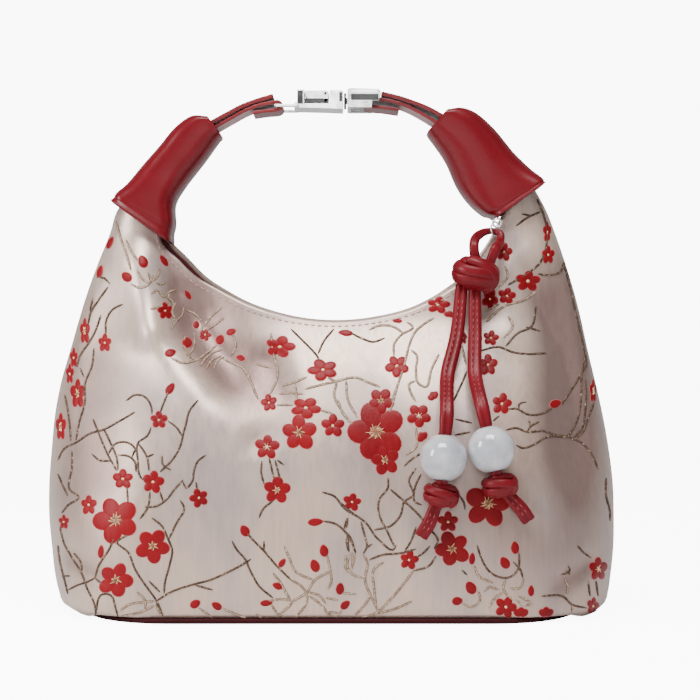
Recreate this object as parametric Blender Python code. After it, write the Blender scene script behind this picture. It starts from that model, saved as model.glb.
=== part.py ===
"""Chinese embroidered purse: a small brocade hobo bag with a short leather handle and a clasp.

Metres, +Z up, front towards -Y, standing on its base with the base's centre at the origin.
"""

import math

import bpy
import numpy as np
from mathutils import Vector

# Main sizes
BAG_WIDTH = 0.2308
BASE_DEPTH = 0.1020
HORN_HEIGHT = 0.1800
BASE_WIDTH = 0.2000
BASE_CORNER = 0.0360
BASE_THICK = 0.0022
GAP = 0.0003

# Cloth and leather
PANEL_WALL = 0.0016
LINING_WALL = 0.0009
LINING_DROP = 0.0016
LINING_EASE = 0.0009
CORNER_HEM = 0.0006
SLEEVE_WALL = 0.0014
STRAP_WIDTH = 0.0196
COVER_THICK = 0.0017
LOOP_THICK = 0.0014
STRAP_BEND = 0.0017

# Clasp
CLASP_WIDTH = 0.0180
CLASP_Z = 0.2062
PLATE_THICK = 0.0018
CLASP_RISE = 0.0054
HOOK_BAR_X = -0.0220
EYE_BAR_X = 0.0158
BAR_RADIUS = 0.0007
ROD = 0.0011
LEVER_X = -0.0106
PIN_X = -0.0024
BLOCK_END = 0.0048
KNUCKLE = 0.0014
POST_WIDE = 0.0033
DISC_RADIUS = 0.0034

# Charm
LOOP_CORD = 0.0040
STRAND_CORD = 0.0052
TAIL_CORD = 0.0046
BEAD_WIDE = 0.0184
BEAD_HOLE = 0.0060
RING_RADIUS = 0.0028
LINK_RADIUS = 0.0017
RING_WIRE = 0.0004
LOOP_PINCH = 0.62
KNOT_SIZE = (0.0088, 0.0066, 0.0068)
END_KNOT_SIZE = (0.0064, 0.0054, 0.0047)

# Grids
COLUMNS = 28
ROWS = 16

HALF_WIDE = BAG_WIDTH / 2
HALF_DEEP = BASE_DEPTH / 2
FLOOR = BASE_THICK + GAP

# height / horn height, left and right edge / half width, depth / half depth, corner / half width
OUTLINE = (
    (0.003, 0.900, 0.935, 0.960, 0.330),
    (0.022, 0.948, 0.968, 0.975, 0.335),
    (0.044, 0.962, 0.979, 0.985, 0.345),
    (0.078, 0.975, 0.987, 0.990, 0.360),
    (0.144, 0.988, 0.998, 0.990, 0.385),
    (0.222, 0.999, 1.000, 0.975, 0.420),
    (0.289, 0.999, 0.997, 0.950, 0.460),
    (0.367, 0.991, 0.983, 0.895, 0.500),
    (0.444, 0.980, 0.962, 0.800, 0.530),
    (0.522, 0.957, 0.935, 0.665, 0.535),
    (0.590, 0.927, 0.910, 0.520, 0.485),
    (0.656, 0.898, 0.888, 0.385, 0.390),
    (0.722, 0.866, 0.862, 0.310, 0.290),
    (0.789, 0.828, 0.830, 0.262, 0.200),
    (0.856, 0.786, 0.794, 0.212, 0.140),
    (0.908, 0.760, 0.762, 0.190, 0.115),
    (0.950, 0.710, 0.727, 0.178, 0.105),
    (1.000, 0.655, 0.676, 0.168, 0.100),
)

# place round the panel, x / half width, height / horn height of its top edge
RIM = (
    (-1.00, -0.694, 0.975),
    (-0.93, -0.648, 0.938),
    (-0.87, -0.612, 0.893),
    (-0.80, -0.597, 0.836),
    (-0.72, -0.535, 0.789),
    (-0.62, -0.475, 0.753),
    (-0.50, -0.392, 0.724),
    (-0.36, -0.288, 0.692),
    (-0.20, -0.158, 0.667),
    (0.00, 0.000, 0.655),
    (0.20, 0.158, 0.663),
    (0.36, 0.288, 0.684),
    (0.50, 0.392, 0.718),
    (0.62, 0.475, 0.756),
    (0.72, 0.522, 0.796),
    (0.80, 0.565, 0.838),
    (0.87, 0.615, 0.905),
    (0.93, 0.645, 0.952),
    (1.00, 0.696, 0.996),
)

# start x, z and end x, z / half width and horn height, reach / half width, lift / half depth
FRONT_FOLDS = (
    (-0.690, 0.800, -0.630, 0.650, 0.080, 0.045),
    (-0.630, 0.650, -0.280, 0.410, 0.105, 0.065),
    (-0.470, 0.635, -0.360, 0.570, 0.110, -0.080),
    (-0.300, 0.520, -0.240, 0.440, 0.110, -0.070),
    (-0.820, 0.620, -0.800, 0.300, 0.120, -0.040),
    (0.675, 0.800, 0.610, 0.640, 0.080, 0.045),
    (0.800, 0.720, 0.800, 0.360, 0.120, -0.060),
    (-0.100, 0.250, 0.150, 0.250, 0.550, 0.030),
)
BACK_FOLDS = (
    (-0.680, 0.780, -0.560, 0.560, 0.090, 0.050),
    (0.680, 0.780, 0.520, 0.520, 0.095, 0.055),
    (-0.420, 0.560, -0.250, 0.420, 0.130, -0.070),
    (0.360, 0.600, 0.240, 0.450, 0.130, -0.060),
    (-0.100, 0.250, 0.150, 0.250, 0.550, 0.030),
)

# outer edge x, z and inner edge x, z / half width and horn height, depth / half depth, squareness
SLEEVE_LEFT = (
    (-0.7760, 0.9240, -0.5670, 0.8290, 0.306, 6.5),
    (-0.7570, 0.9440, -0.5550, 0.8740, 0.286, 5.6),
    (-0.7210, 0.9660, -0.5530, 0.9210, 0.272, 3.8),
    (-0.6670, 1.0090, -0.5140, 0.9630, 0.254, 3.2),
    (-0.6070, 1.0530, -0.4500, 1.0160, 0.250, 3.2),
    (-0.5560, 1.0920, -0.4000, 1.0610, 0.247, 3.4),
    (-0.4960, 1.1190, -0.3880, 1.0700, 0.244, 3.8),
    (-0.4370, 1.1180, -0.3890, 1.0770, 0.246, 4.6),
)
SLEEVE_RIGHT = (
    (0.7540, 0.9660, 0.5830, 0.8870, 0.306, 6.5),
    (0.7450, 0.9770, 0.5370, 0.8960, 0.290, 5.6),
    (0.7020, 1.0010, 0.4840, 0.9240, 0.274, 3.8),
    (0.6440, 1.0390, 0.4420, 0.9620, 0.260, 3.0),
    (0.5840, 1.0860, 0.4060, 1.0140, 0.256, 3.0),
    (0.5190, 1.1240, 0.3680, 1.0520, 0.250, 3.4),
    (0.4640, 1.1380, 0.3390, 1.0790, 0.245, 3.8),
    (0.4110, 1.1340, 0.3500, 1.0900, 0.246, 4.6),
)

# centre of each sleeve's mouth, and the strap points inside it: x / half width, height / horn height
MOUTH_LEFT = (-0.4130, 1.0975)
MOUTH_RIGHT = (0.3805, 1.1120)
COVER_LEFT_ROOT = ((-0.4600, 1.0860), (-0.4150, 1.1045))
LOOP_LEFT_ROOT = ((-0.4500, 1.0740), (-0.4100, 1.0905))
COVER_RIGHT_ROOT = ((0.4350, 1.0950), (0.3900, 1.1165))
LOOP_RIGHT_ROOT = ((0.4200, 1.0765), (0.3760, 1.0985))

# strap points outside it: share of the way from mouth to clasp bar, lift off it / strap stack
COVER_LEFT = ((0.245, 0.85), (0.470, 1.24), (0.715, 1.40), (0.990, 1.40))
LOOP_LEFT = ((0.260, 0.12), (0.530, 0.61), (0.760, 0.74))
RETURN_LEFT = (0.620, 0.01)
COVER_RIGHT = ((0.230, 0.99), (0.400, 1.22), (0.590, 1.40), (0.875, 1.44))
LOOP_RIGHT = ((0.250, 0.01), (0.465, 0.53), (0.700, 0.75))
RETURN_RIGHT = (0.580, -0.13)


def clear_scene():
    for obj in list(bpy.data.objects):
        bpy.data.objects.remove(obj, do_unlink=True)
    for mesh in list(bpy.data.meshes):
        bpy.data.meshes.remove(mesh)


def material(name, colour, rough, metal=0.0):
    made = bpy.data.materials.new(name)
    made.use_nodes = True
    shader = made.node_tree.nodes["Principled BSDF"]
    shader.inputs["Base Color"].default_value = (*colour, 1.0)
    shader.inputs["Roughness"].default_value = rough
    shader.inputs["Metallic"].default_value = metal
    made.diffuse_color = (*colour, 1.0)
    return made


def add_mesh(name, points, faces, look):
    mesh = bpy.data.meshes.new(name)
    mesh.from_pydata([tuple(map(float, p)) for p in points], [], faces)
    mesh.validate()
    mesh.update()
    mesh.materials.append(look)
    obj = bpy.data.objects.new(name, mesh)
    bpy.context.scene.collection.objects.link(obj)
    return obj


def eased(rows, column, at):
    """Smooth value of one column of a table at a place given by its first column."""
    keys = np.array([row[0] for row in rows])
    values = np.array([row[column] for row in rows])
    slopes = np.gradient(values, keys)
    at = np.clip(at, keys[0], keys[-1])
    i = np.clip(np.searchsorted(keys, at, side="right") - 1, 0, len(keys) - 2)
    span = keys[i + 1] - keys[i]
    t = (at - keys[i]) / span
    first = (1 + 2 * t) * (1 - t) ** 2 * values[i] + t * (1 - t) ** 2 * span * slopes[i]
    return first + t * t * (3 - 2 * t) * values[i + 1] + t * t * (t - 1) * span * slopes[i + 1]


def edge_at(z, side):
    """Half width of the bag at a height, on the left (side -1) or right (side +1)."""
    return HALF_WIDE * eased(OUTLINE, 1 if side < 0 else 2, z / HORN_HEIGHT)


def plain_depth(x, z):
    """How far the panel stands from the bag's middle plane, with no folds."""
    share = z / HORN_HEIGHT
    deep = HALF_DEEP * eased(OUTLINE, 3, share)
    corner = HALF_WIDE * eased(OUTLINE, 4, share)
    wide = np.where(x < 0, edge_at(z, -1), edge_at(z, 1))
    r = np.clip((wide - np.abs(x)) / corner, 0, 1)
    return deep * np.sqrt(np.clip(1 - (1 - r) ** 2, 0, 1))


def fold_lift(x, z, folds):
    """Sum of the folds' lifts at a place on the panel."""
    total = 0.0
    for x0, z0, x1, z1, reach, lift in folds:
        a = np.array((x0 * HALF_WIDE, z0 * HORN_HEIGHT))
        b = np.array((x1 * HALF_WIDE, z1 * HORN_HEIGHT))
        along = ((x - a[0]) * (b[0] - a[0]) + (z - a[1]) * (b[1] - a[1])) / np.sum((b - a) ** 2)
        along = np.clip(along, 0, 1)
        away = np.hypot(x - a[0] - along * (b[0] - a[0]), z - a[1] - along * (b[1] - a[1]))
        total = total + lift * HALF_DEEP * np.exp(-((away / (reach * HALF_WIDE)) ** 2))
    return total


def panel_depth(x, z, folds):
    """Depth of the folded panel: the folds fade out towards the side seam and the base."""
    plain = plain_depth(x, z)
    wide = np.where(x < 0, edge_at(z, -1), edge_at(z, 1))
    fade = np.clip((wide - np.abs(x)) / (0.10 * HALF_WIDE), 0, 1)
    fade = fade * np.clip((z - FLOOR) / (0.12 * HORN_HEIGHT), 0, 1)
    fade = fade * np.clip((0.86 * HORN_HEIGHT - z) / (0.08 * HORN_HEIGHT), 0, 1)
    return plain + fold_lift(x, z, folds) * fade


def course(z, side):
    """Places (x, distance along) round one level of a half panel, from its middle to the seam."""
    bend = np.linspace(0, math.pi / 2, 90)
    x = side * float(edge_at(z, side)) * np.sin(bend)
    y = plain_depth(x, np.full(90, z))
    steps = np.hypot(np.diff(x), np.diff(y))
    along = np.concatenate(([0.0], np.cumsum(steps)))
    return x, along / along[-1]


def hem_height(place):
    """Height of the cloth's lower edge: on the base in the middle, lower past its corners."""
    t = float(np.clip((abs(place) - 0.66) / 0.12, 0, 1))
    return FLOOR + (CORNER_HEM - FLOOR) * t * t * (3 - 2 * t)


def panel_grid(columns, rows, folds):
    """Outer surface of a front panel as rows of points, from the base to the top edge."""
    places = np.linspace(-1, 1, columns + 1)
    heights = np.linspace(0, 1, rows + 1)
    heights = 0.55 * heights + 0.45 * heights**1.9
    grid = np.zeros((rows + 1, columns + 1, 3))
    for j, place in enumerate(places):
        side = -1 if place < 0 else 1
        top_x = HALF_WIDE * float(eased(RIM, 1, place))
        top_z = HORN_HEIGHT * float(eased(RIM, 2, place))
        if j in (0, columns):
            top_x = side * float(edge_at(top_z, side))
        low = hem_height(place)
        xs, along = course(top_z, side)
        top_along = np.interp(abs(top_x), np.abs(xs), along)
        for i, height in enumerate(heights):
            z = low + (top_z - low) * height
            xs, along = course(z, side)
            mix = height**1.15
            where = (1 - mix) * abs(place) + mix * top_along
            x = side * np.interp(where, along, np.abs(xs))
            grid[i, j] = (x, -panel_depth(x, z, folds), z)
    return grid


def inward(grid, distance):
    """The grid moved in from its outer face; side edges stay in the middle plane."""
    across = np.gradient(grid, axis=1)
    up = np.gradient(grid, axis=0)
    across[:, 0, 1] = -abs(across[:, 0, 0]) - abs(across[:, 1, 1]) * 4
    across[:, -1, 1] = abs(across[:, -1, 0]) + abs(across[:, -2, 1]) * 4
    across[:, 0, 0] = 0
    across[:, -1, 0] = 0
    normal = np.cross(across, up)
    normal[:, 0, 1] = 0
    normal[:, -1, 1] = 0
    length = np.linalg.norm(normal, axis=2, keepdims=True)
    normal = normal / length
    normal[0, :, 2] = 0
    normal[0] /= np.linalg.norm(normal[0], axis=1, keepdims=True)
    return grid - normal * distance


def wall_solid(name, outer, inner, look):
    """Closed wall between two grids of the same size."""
    rows, columns = outer.shape[0], outer.shape[1]
    size = rows * columns
    points = np.concatenate((outer.reshape(-1, 3), inner.reshape(-1, 3)))
    faces = []

    def at(i, j, layer=0):
        return layer * size + i * columns + j

    for i in range(rows - 1):
        for j in range(columns - 1):
            faces.append((at(i, j), at(i, j + 1), at(i + 1, j + 1), at(i + 1, j)))
            faces.append((at(i, j, 1), at(i + 1, j, 1), at(i + 1, j + 1, 1), at(i, j + 1, 1)))
    for j in range(columns - 1):
        faces.append((at(0, j), at(0, j, 1), at(0, j + 1, 1), at(0, j + 1)))
        last = rows - 1
        faces.append((at(last, j), at(last, j + 1), at(last, j + 1, 1), at(last, j, 1)))
    for i in range(rows - 1):
        faces.append((at(i, 0), at(i + 1, 0), at(i + 1, 0, 1), at(i, 0, 1)))
        last = columns - 1
        faces.append((at(i, last), at(i, last, 1), at(i + 1, last, 1), at(i + 1, last)))
    return add_mesh(name, points, faces, look)


def seam_gap(grid):
    """Keeps a front grid clear of the middle plane by half a gap."""
    kept = grid.copy()
    kept[..., 1] = np.minimum(kept[..., 1], -GAP / 2)
    return kept


def turned(grid):
    """The same grid on the back of the bag."""
    back = grid[:, ::-1].copy()
    back[..., 1] *= -1
    return back


def build_panels(look):
    front = panel_grid(COLUMNS, ROWS, FRONT_FOLDS)
    wall_solid("front_panel", seam_gap(front), seam_gap(inward(front, PANEL_WALL)), look)
    back = panel_grid(COLUMNS, ROWS, BACK_FOLDS)
    outer = turned(seam_gap(back))
    inner = turned(seam_gap(inward(back, PANEL_WALL)))
    wall_solid("back_panel", outer, inner, look)


def build_lining(look):
    """One cup inside both panels, closed at the base and a little looser half way up."""
    halves = []
    loose = np.sin(np.linspace(0, 0.97 * math.pi, ROWS + 1)) ** 0.4 * LINING_EASE
    for folds in (FRONT_FOLDS, BACK_FOLDS):
        grid = panel_grid(COLUMNS, ROWS, folds)
        last = grid[-1] - grid[-2]
        share = LINING_DROP / np.linalg.norm(last, axis=1, keepdims=True)
        clear = (PANEL_WALL + GAP + loose)[:, None, None]
        grid[-1] -= last * share
        kept = [i for i in range(ROWS + 1) if i % 3 == 0 or i > ROWS / 2]
        outer = inward(grid, clear)[kept]
        inner = inward(grid, clear + LINING_WALL)[kept]
        outer[0, :, 2] = FLOOR
        halves.append((outer, inner))
    rings = []
    for layer in (0, 1):
        front = halves[0][layer]
        back = turned(halves[1][layer])
        for edge in (0, -1):
            front[:, edge, 1] = 0.0
        rings.append(np.concatenate((front, back[:, 1:-1]), axis=1))
    outer, inner = rings
    inner[0, :, 2] = FLOOR + LINING_WALL
    rows, columns = outer.shape[0], outer.shape[1]
    size = rows * columns
    points = list(outer.reshape(-1, 3)) + list(inner.reshape(-1, 3))
    points.append((0.0, 0.0, FLOOR))
    points.append((0.0, 0.0, FLOOR + LINING_WALL))
    faces = []
    for j in range(columns):
        k = (j + 1) % columns
        for i in range(rows - 1):
            a, b = i * columns, (i + 1) * columns
            faces.append((a + j, a + k, b + k, b + j))
            faces.append((size + a + j, size + b + j, size + b + k, size + a + k))
        top = (rows - 1) * columns
        faces.append((top + j, top + k, size + top + k, size + top + j))
        faces.append((2 * size, k, j))
        faces.append((2 * size + 1, size + j, size + k))
    add_mesh("lining", points, faces, look)


def plate_ring(less, z, around):
    """Level outline of the base, anticlockwise from above, drawn in by a distance."""
    wide = BASE_WIDTH / 2 - less
    deep = HALF_DEEP - less
    points = []
    for k in range(around):
        turn = 2 * math.pi * (k + 0.5) / around
        c, s = math.cos(turn), math.sin(turn)
        bend = abs(c) ** 1.5
        x = wide - BASE_CORNER * (1 - bend) if abs(c) > 0.55 else None
        if x is None:
            x = (wide - BASE_CORNER * (1 - 0.55**1.5)) * abs(c) / 0.55
        r = min(1.0, (wide - x) / BASE_CORNER)
        y = deep * math.sqrt(max(0.0, 1 - (1 - r) ** 2))
        points.append((math.copysign(x, c), math.copysign(y, s), z))
    return points


def build_base(look):
    """Leather plate under the bag, with a softened edge."""
    soft = BASE_THICK * 0.30
    levels = ((0.0, soft), (soft, 0.0), (BASE_THICK - soft, 0.0), (BASE_THICK, soft))
    around = 56
    points = []
    for z, less in levels:
        points += plate_ring(less, z, around)
    faces = []
    for level in range(len(levels) - 1):
        a = level * around
        for j in range(around):
            k = (j + 1) % around
            faces.append((a + j, a + k, a + around + k, a + around + j))
    faces.append(tuple(reversed(range(around))))
    last = (len(levels) - 1) * around
    faces.append(tuple(range(last, last + around)))
    add_mesh("base_panel", points, faces, look)


def build_sleeve(name, rows, look):
    """Hollow leather tube through a table of sections."""
    around = 20
    outer = []
    inner = []
    for x0, z0, x1, z1, deep, square in rows:
        a = np.array((x0 * HALF_WIDE, z0 * HORN_HEIGHT))
        b = np.array((x1 * HALF_WIDE, z1 * HORN_HEIGHT))
        centre = (a + b) / 2
        half = a - centre
        reach = np.linalg.norm(half)
        along = half / reach
        d = deep * HALF_DEEP
        for points, less in ((outer, 0.0), (inner, SLEEVE_WALL)):
            for k in range(around):
                angle = 2 * math.pi * k / around
                c, s = math.cos(angle), math.sin(angle)
                c = math.copysign(abs(c) ** (2 / square), c)
                s = math.copysign(abs(s) ** (2 / square), s)
                p = centre + along * (reach - less) * c
                points.append((p[0], (d - less) * s, p[1]))
    outer = np.array(outer).reshape(len(rows), around, 3)
    inner = np.array(inner).reshape(len(rows), around, 3)
    flip = rows[0][0] < 0
    size = len(rows) * around
    faces = []
    for j in range(around):
        k = (j + 1) % around
        for i in range(len(rows) - 1):
            a, b = i * around, (i + 1) * around
            faces.append((a + j, a + k, b + k, b + j))
            faces.append((size + a + j, size + b + j, size + b + k, size + a + k))
        faces.append((j, size + j, size + k, k))
        top = (len(rows) - 1) * around
        faces.append((top + j, top + k, size + top + k, size + top + j))
    if flip:
        faces = [tuple(reversed(face)) for face in faces]
    points = np.concatenate((outer.reshape(-1, 3), inner.reshape(-1, 3)))
    add_mesh(name, points, faces, look)


def thick_line(course_points, thick):
    """Outline of a strip seen edge-on: its course moved to both sides by half the thickness."""
    line = np.array(course_points, float)
    ahead = np.gradient(line, axis=0)
    ahead /= np.linalg.norm(ahead, axis=1, keepdims=True)
    side = np.stack((-ahead[:, 1], ahead[:, 0]), axis=1)
    return line + side * thick / 2, line - side * thick / 2


def add_strip(name, course_points, thick, wide, look):
    upper, lower = thick_line(course_points, thick)
    count = len(upper)
    points = []
    for y in (-wide / 2, wide / 2):
        points += [(x, y, z) for x, z in upper]
        points += [(x, y, z) for x, z in lower]
    n = 2 * count
    faces = []
    for i in range(count - 1):
        u0, u1, l0, l1 = i, i + 1, count + i, count + i + 1
        faces.append((l0, l1, u1, u0))
        faces.append((n + u0, n + u1, n + l1, n + l0))
        faces.append((u0, u1, n + u1, n + u0))
        faces.append((l1, l0, n + l0, n + l1))
    end = count - 1
    faces.append((count, 0, n, n + count))
    faces.append((end, count + end, n + count + end, n + end))
    add_mesh(name, points, faces, look)


def placed(rows):
    return [(x * HALF_WIDE, z * HORN_HEIGHT) for x, z in rows]


def strap_points(mouth, bar, rows):
    """Points given by their share of the way from a sleeve's mouth to a clasp bar, and a lift."""
    start = np.array((mouth[0] * HALF_WIDE, mouth[1] * HORN_HEIGHT))
    way = np.array(bar) - start
    up = np.array((-way[1], way[0])) * math.copysign(1.0, way[0]) / np.linalg.norm(way)
    stack = COVER_THICK + LOOP_THICK
    return [tuple(start + way * share + up * lift * stack) for share, lift in rows]


def looped(root, rows, mouth, bar, tail):
    """Strip course from the sleeve over a bar, round it and back under itself."""
    line = placed(root) + strap_points(mouth, bar, rows)
    side = -math.copysign(1.0, mouth[0])
    for k in range(9):
        angle = math.pi / 2 - k * math.pi / 8
        x = bar[0] + side * STRAP_BEND * math.cos(angle)
        line.append((x, bar[1] + STRAP_BEND * math.sin(angle)))
    end = strap_points(mouth, bar, (tail,))[0]
    last = line[-1]
    line.append((0.6 * last[0] + 0.4 * end[0], 0.7 * last[1] + 0.3 * end[1]))
    line.append(end)
    return line


def build_straps(look, bars):
    left, right = bars
    line = placed(COVER_LEFT_ROOT) + strap_points(MOUTH_LEFT, left, COVER_LEFT)
    add_strip("strap_left_cover", line, COVER_THICK, STRAP_WIDTH, look)
    line = looped(LOOP_LEFT_ROOT, LOOP_LEFT, MOUTH_LEFT, left, RETURN_LEFT)
    add_strip("strap_left_loop", line, LOOP_THICK, STRAP_WIDTH, look)
    line = placed(COVER_RIGHT_ROOT) + strap_points(MOUTH_RIGHT, right, COVER_RIGHT)
    add_strip("strap_right_cover", line[::-1], COVER_THICK, STRAP_WIDTH, look)
    line = looped(LOOP_RIGHT_ROOT, LOOP_RIGHT, MOUTH_RIGHT, right, RETURN_RIGHT)
    add_strip("strap_right_loop", line[::-1], LOOP_THICK, STRAP_WIDTH, look)


def block(x0, x1, y0, y1, z0, z1):
    """A box as (points, faces)."""
    points = [(x, y, z) for z in (z0, z1) for y in (y0, y1) for x in (x0, x1)]
    faces = [(0, 2, 3, 1), (4, 5, 7, 6), (0, 1, 5, 4), (2, 6, 7, 3), (0, 4, 6, 2), (1, 3, 7, 5)]
    return points, faces


def extruded(profile, y0, y1):
    """A profile in x, z (anticlockwise from the front) carried along y."""
    n = len(profile)
    points = [(x, y0, z) for x, z in profile] + [(x, y1, z) for x, z in profile]
    faces = [tuple(range(n)), tuple(reversed(range(n, 2 * n)))]
    for i in range(n):
        k = (i + 1) % n
        faces.append((k, i, n + i, n + k))
    return points, faces


def round_bar(centre, radius, half, axis, sides=10):
    """A round bar centred on a point, along x or y."""
    points = []
    for end in (-half, half):
        for k in range(sides):
            angle = 2 * math.pi * k / sides
            u, v = radius * math.cos(angle), radius * math.sin(angle)
            if axis == "x":
                points.append((centre[0] + end, centre[1] + u, centre[2] + v))
            else:
                points.append((centre[0] + v, centre[1] + end, centre[2] + u))
    faces = [tuple(reversed(range(sides))), tuple(range(sides, 2 * sides))]
    for i in range(sides):
        k = (i + 1) % sides
        faces.append((i, k, sides + k, sides + i))
    return points, faces


def joined(name, shapes, look):
    """One solid from overlapping shapes."""
    main = add_mesh(name, *shapes[0], look)
    for number, shape in enumerate(shapes[1:]):
        other = add_mesh(f"{name}_join_{number}", *shape, look)
        other.hide_render = True
        other.display_type = "WIRE"
        union = main.modifiers.new("join", "BOOLEAN")
        union.operation = "UNION"
        union.solver = "EXACT"
        union.object = other
    return main


def hook_levels():
    top = CLASP_Z + CLASP_RISE
    floor = CLASP_Z - PLATE_THICK
    return floor, top


def pin_height():
    """Height of the lever's pin, near its top right corner."""
    return CLASP_Z + CLASP_RISE - 0.0013


def build_clasp(silver):
    floor, top = hook_levels()
    half = CLASP_WIDTH / 2
    post = LEVER_X - POST_WIDE
    pocket = CLASP_Z + 0.0003
    lever_end = PIN_X + KNUCKLE
    profile = (
        (post - 0.0012, floor),
        (PIN_X, floor - 0.0003),
        (BLOCK_END, floor - 0.0006),
        (BLOCK_END, top - 0.0004),
        (BLOCK_END - 0.0006, top),
        (lever_end + GAP, top),
        (lever_end + GAP, CLASP_Z),
        (LEVER_X - GAP, CLASP_Z),
        (LEVER_X - GAP, top + 0.0003),
        (post, top + 0.0003),
        (post, CLASP_Z + 0.0008),
        (post - 0.0012, CLASP_Z + 0.0002),
    )
    body = extruded(profile, -half, half)
    reach = STRAP_WIDTH / 2 + GAP
    bar_z = left_bar()[1]
    rods = []
    for side in (-1, 1):
        y0, y1 = sorted((side * reach, side * (reach + ROD)))
        rods.append(
            block(HOOK_BAR_X - 0.0011, post + 0.0004, y0, y1, bar_z - ROD / 2, bar_z + ROD / 2)
        )
    bridge = block(
        post - 0.0004, post + 0.0010, -reach - ROD, reach + ROD, floor + 0.0002, bar_z + ROD / 2
    )
    bar = round_bar((HOOK_BAR_X, 0.0, bar_z), BAR_RADIUS, reach + ROD / 2, "y")
    joined("clasp_hook", [body, bridge, rods[0], rods[1], bar], silver)

    under = pocket + 0.0016
    lever = extruded(
        (
            (LEVER_X + 0.0009, under),
            (PIN_X - 0.0010, under),
            (PIN_X - 0.0005, pocket),
            (PIN_X + 0.0006, pocket),
            (PIN_X + 0.0013, pocket + 0.0018),
            (PIN_X + KNUCKLE, pin_height()),
            (PIN_X + 0.0010, pin_height() + 0.0008),
            (PIN_X + 0.0004, top - 0.0001),
            (LEVER_X, top - 0.0001),
            (LEVER_X, under + 0.0014),
        ),
        -half + 0.0004,
        half - 0.0004,
    )
    add_mesh("clasp_lever", *lever, silver)

    bar_x, bar_z = right_bar()
    outside = reach + ROD + 0.0002
    start = BLOCK_END + 0.0018
    sides = []
    for side in (-1, 1):
        y0, y1 = sorted((side * reach, side * outside))
        plate = (
            (start, floor - 0.0002),
            (EYE_BAR_X + 0.0007, floor - 0.0002),
            (EYE_BAR_X + 0.0010, CLASP_Z + 0.0008),
            (EYE_BAR_X + 0.0036, CLASP_Z + 0.0008),
            (EYE_BAR_X + 0.0044, top - 0.0012),
            (EYE_BAR_X + 0.0034, top + 0.0002),
            (start + 0.0012, top + 0.0006),
            (start, top + 0.0002),
        )
        sides.append(extruded(plate, y0, y1))
    end_wall = block(
        start - 0.0001, start + 0.0014, -outside + 0.0001, outside - 0.0001, floor, top
    )
    bar = round_bar((bar_x, 0.0, bar_z), BAR_RADIUS, reach + ROD / 2, "y")
    disc_z = (floor + top) / 2
    disc = round_bar((BLOCK_END + 0.0008, 0.0, disc_z), DISC_RADIUS, 0.0005, "x", 16)
    stub = round_bar((BLOCK_END + 0.0013, 0.0, disc_z), 0.0013, 0.0008, "x", 10)
    joined("clasp_eye", [end_wall, sides[0], sides[1], bar, disc, stub], silver)


def left_bar():
    return HOOK_BAR_X, CLASP_Z - 0.0010


def right_bar():
    return EYE_BAR_X, CLASP_Z + 0.0005


def front_at(x, z, clear=0.0):
    """Point in front of the front panel, clear of it by a distance."""
    return Vector((x, -float(panel_depth(x, z, FRONT_FOLDS)) - clear, z))


def hanging(top, foot, x, z, clear):
    """Point of a hanging strand: on the straight way down, or in front of the panel if that is nearer."""
    share = (top.z - z) / (top.z - foot.z)
    straight = top.y + (foot.y - top.y) * share
    point = front_at(x, z, clear)
    point.y = min(point.y, 0.75 * straight + 0.25 * point.y)
    return point


def cord(name, route, thick, look, spacing=1.4, pinch=None):
    """Round cord through hand-chosen points, smoothed; pinch gives its thickness share at each."""
    points = np.array([tuple(p) for p in route], float)
    keys = np.concatenate(([0.0], np.cumsum(np.linalg.norm(np.diff(points, axis=0), axis=1))))
    count = max(5, int(keys[-1] / (thick * spacing)) + 1)
    at = np.linspace(0, keys[-1], count)
    rows = [(keys[i], *points[i]) for i in range(len(keys))]
    smooth = np.stack([eased(rows, c, at) for c in (1, 2, 3)], axis=1)
    curve = bpy.data.curves.new(name, "CURVE")
    curve.dimensions = "3D"
    curve.bevel_depth = thick / 2
    curve.bevel_resolution = 2
    curve.use_fill_caps = True
    spline = curve.splines.new("POLY")
    spline.points.add(count - 1)
    shares = np.interp(at, keys, pinch if pinch else np.ones(len(keys)))
    for point, place, share in zip(spline.points, smooth, shares):
        point.co = (*place, 1.0)
        point.radius = share
    curve.materials.append(look)
    obj = bpy.data.objects.new(name, curve)
    bpy.context.scene.collection.objects.link(obj)
    return obj


def add_ring(name, centre, radius, wire, turn, look):
    """Small wire ring; turn is its plane's angle about the vertical."""
    around, section = 16, 6
    points = []
    faces = []
    for j in range(around):
        a = 2 * math.pi * j / around
        for k in range(section):
            b = 2 * math.pi * k / section
            r = radius + wire * math.cos(b)
            flat = Vector((r * math.cos(a), wire * math.sin(b), r * math.sin(a)))
            x = flat.x * math.cos(turn) - flat.y * math.sin(turn)
            y = flat.x * math.sin(turn) + flat.y * math.cos(turn)
            points.append((centre[0] + x, centre[1] + y, centre[2] + flat.z))
    for j in range(around):
        for k in range(section):
            a = j * section + k
            b = j * section + (k + 1) % section
            c = ((j + 1) % around) * section + (k + 1) % section
            d = ((j + 1) % around) * section + k
            faces.append((a, b, c, d))
    return add_mesh(name, points, faces, look)


def add_bead(name, centre, axis, look):
    """Round glass bead with a hole along an axis."""
    around = 16
    radius = BEAD_WIDE / 2
    hole = BEAD_HOLE / 2
    reach = math.acos(hole / radius)
    profile = []
    for k in range(9):
        angle = -reach + 2 * reach * k / 8
        profile.append((radius * math.cos(angle), radius * math.sin(angle)))
    turn = Vector((0, 0, 1)).rotation_difference(Vector(axis).normalized())
    points = []
    for j in range(around):
        a = 2 * math.pi * j / around
        for r, z in profile:
            p = turn @ Vector((r * math.cos(a), r * math.sin(a), z))
            points.append(p + Vector(centre))
    n = len(profile)
    faces = []
    for j in range(around):
        k = (j + 1) % around
        for i in range(n - 1):
            faces.append((j * n + i, k * n + i, k * n + i + 1, j * n + i + 1))
        faces.append((j * n + n - 1, k * n + n - 1, k * n, j * n))
    return add_mesh(name, points, faces, look)


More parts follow.
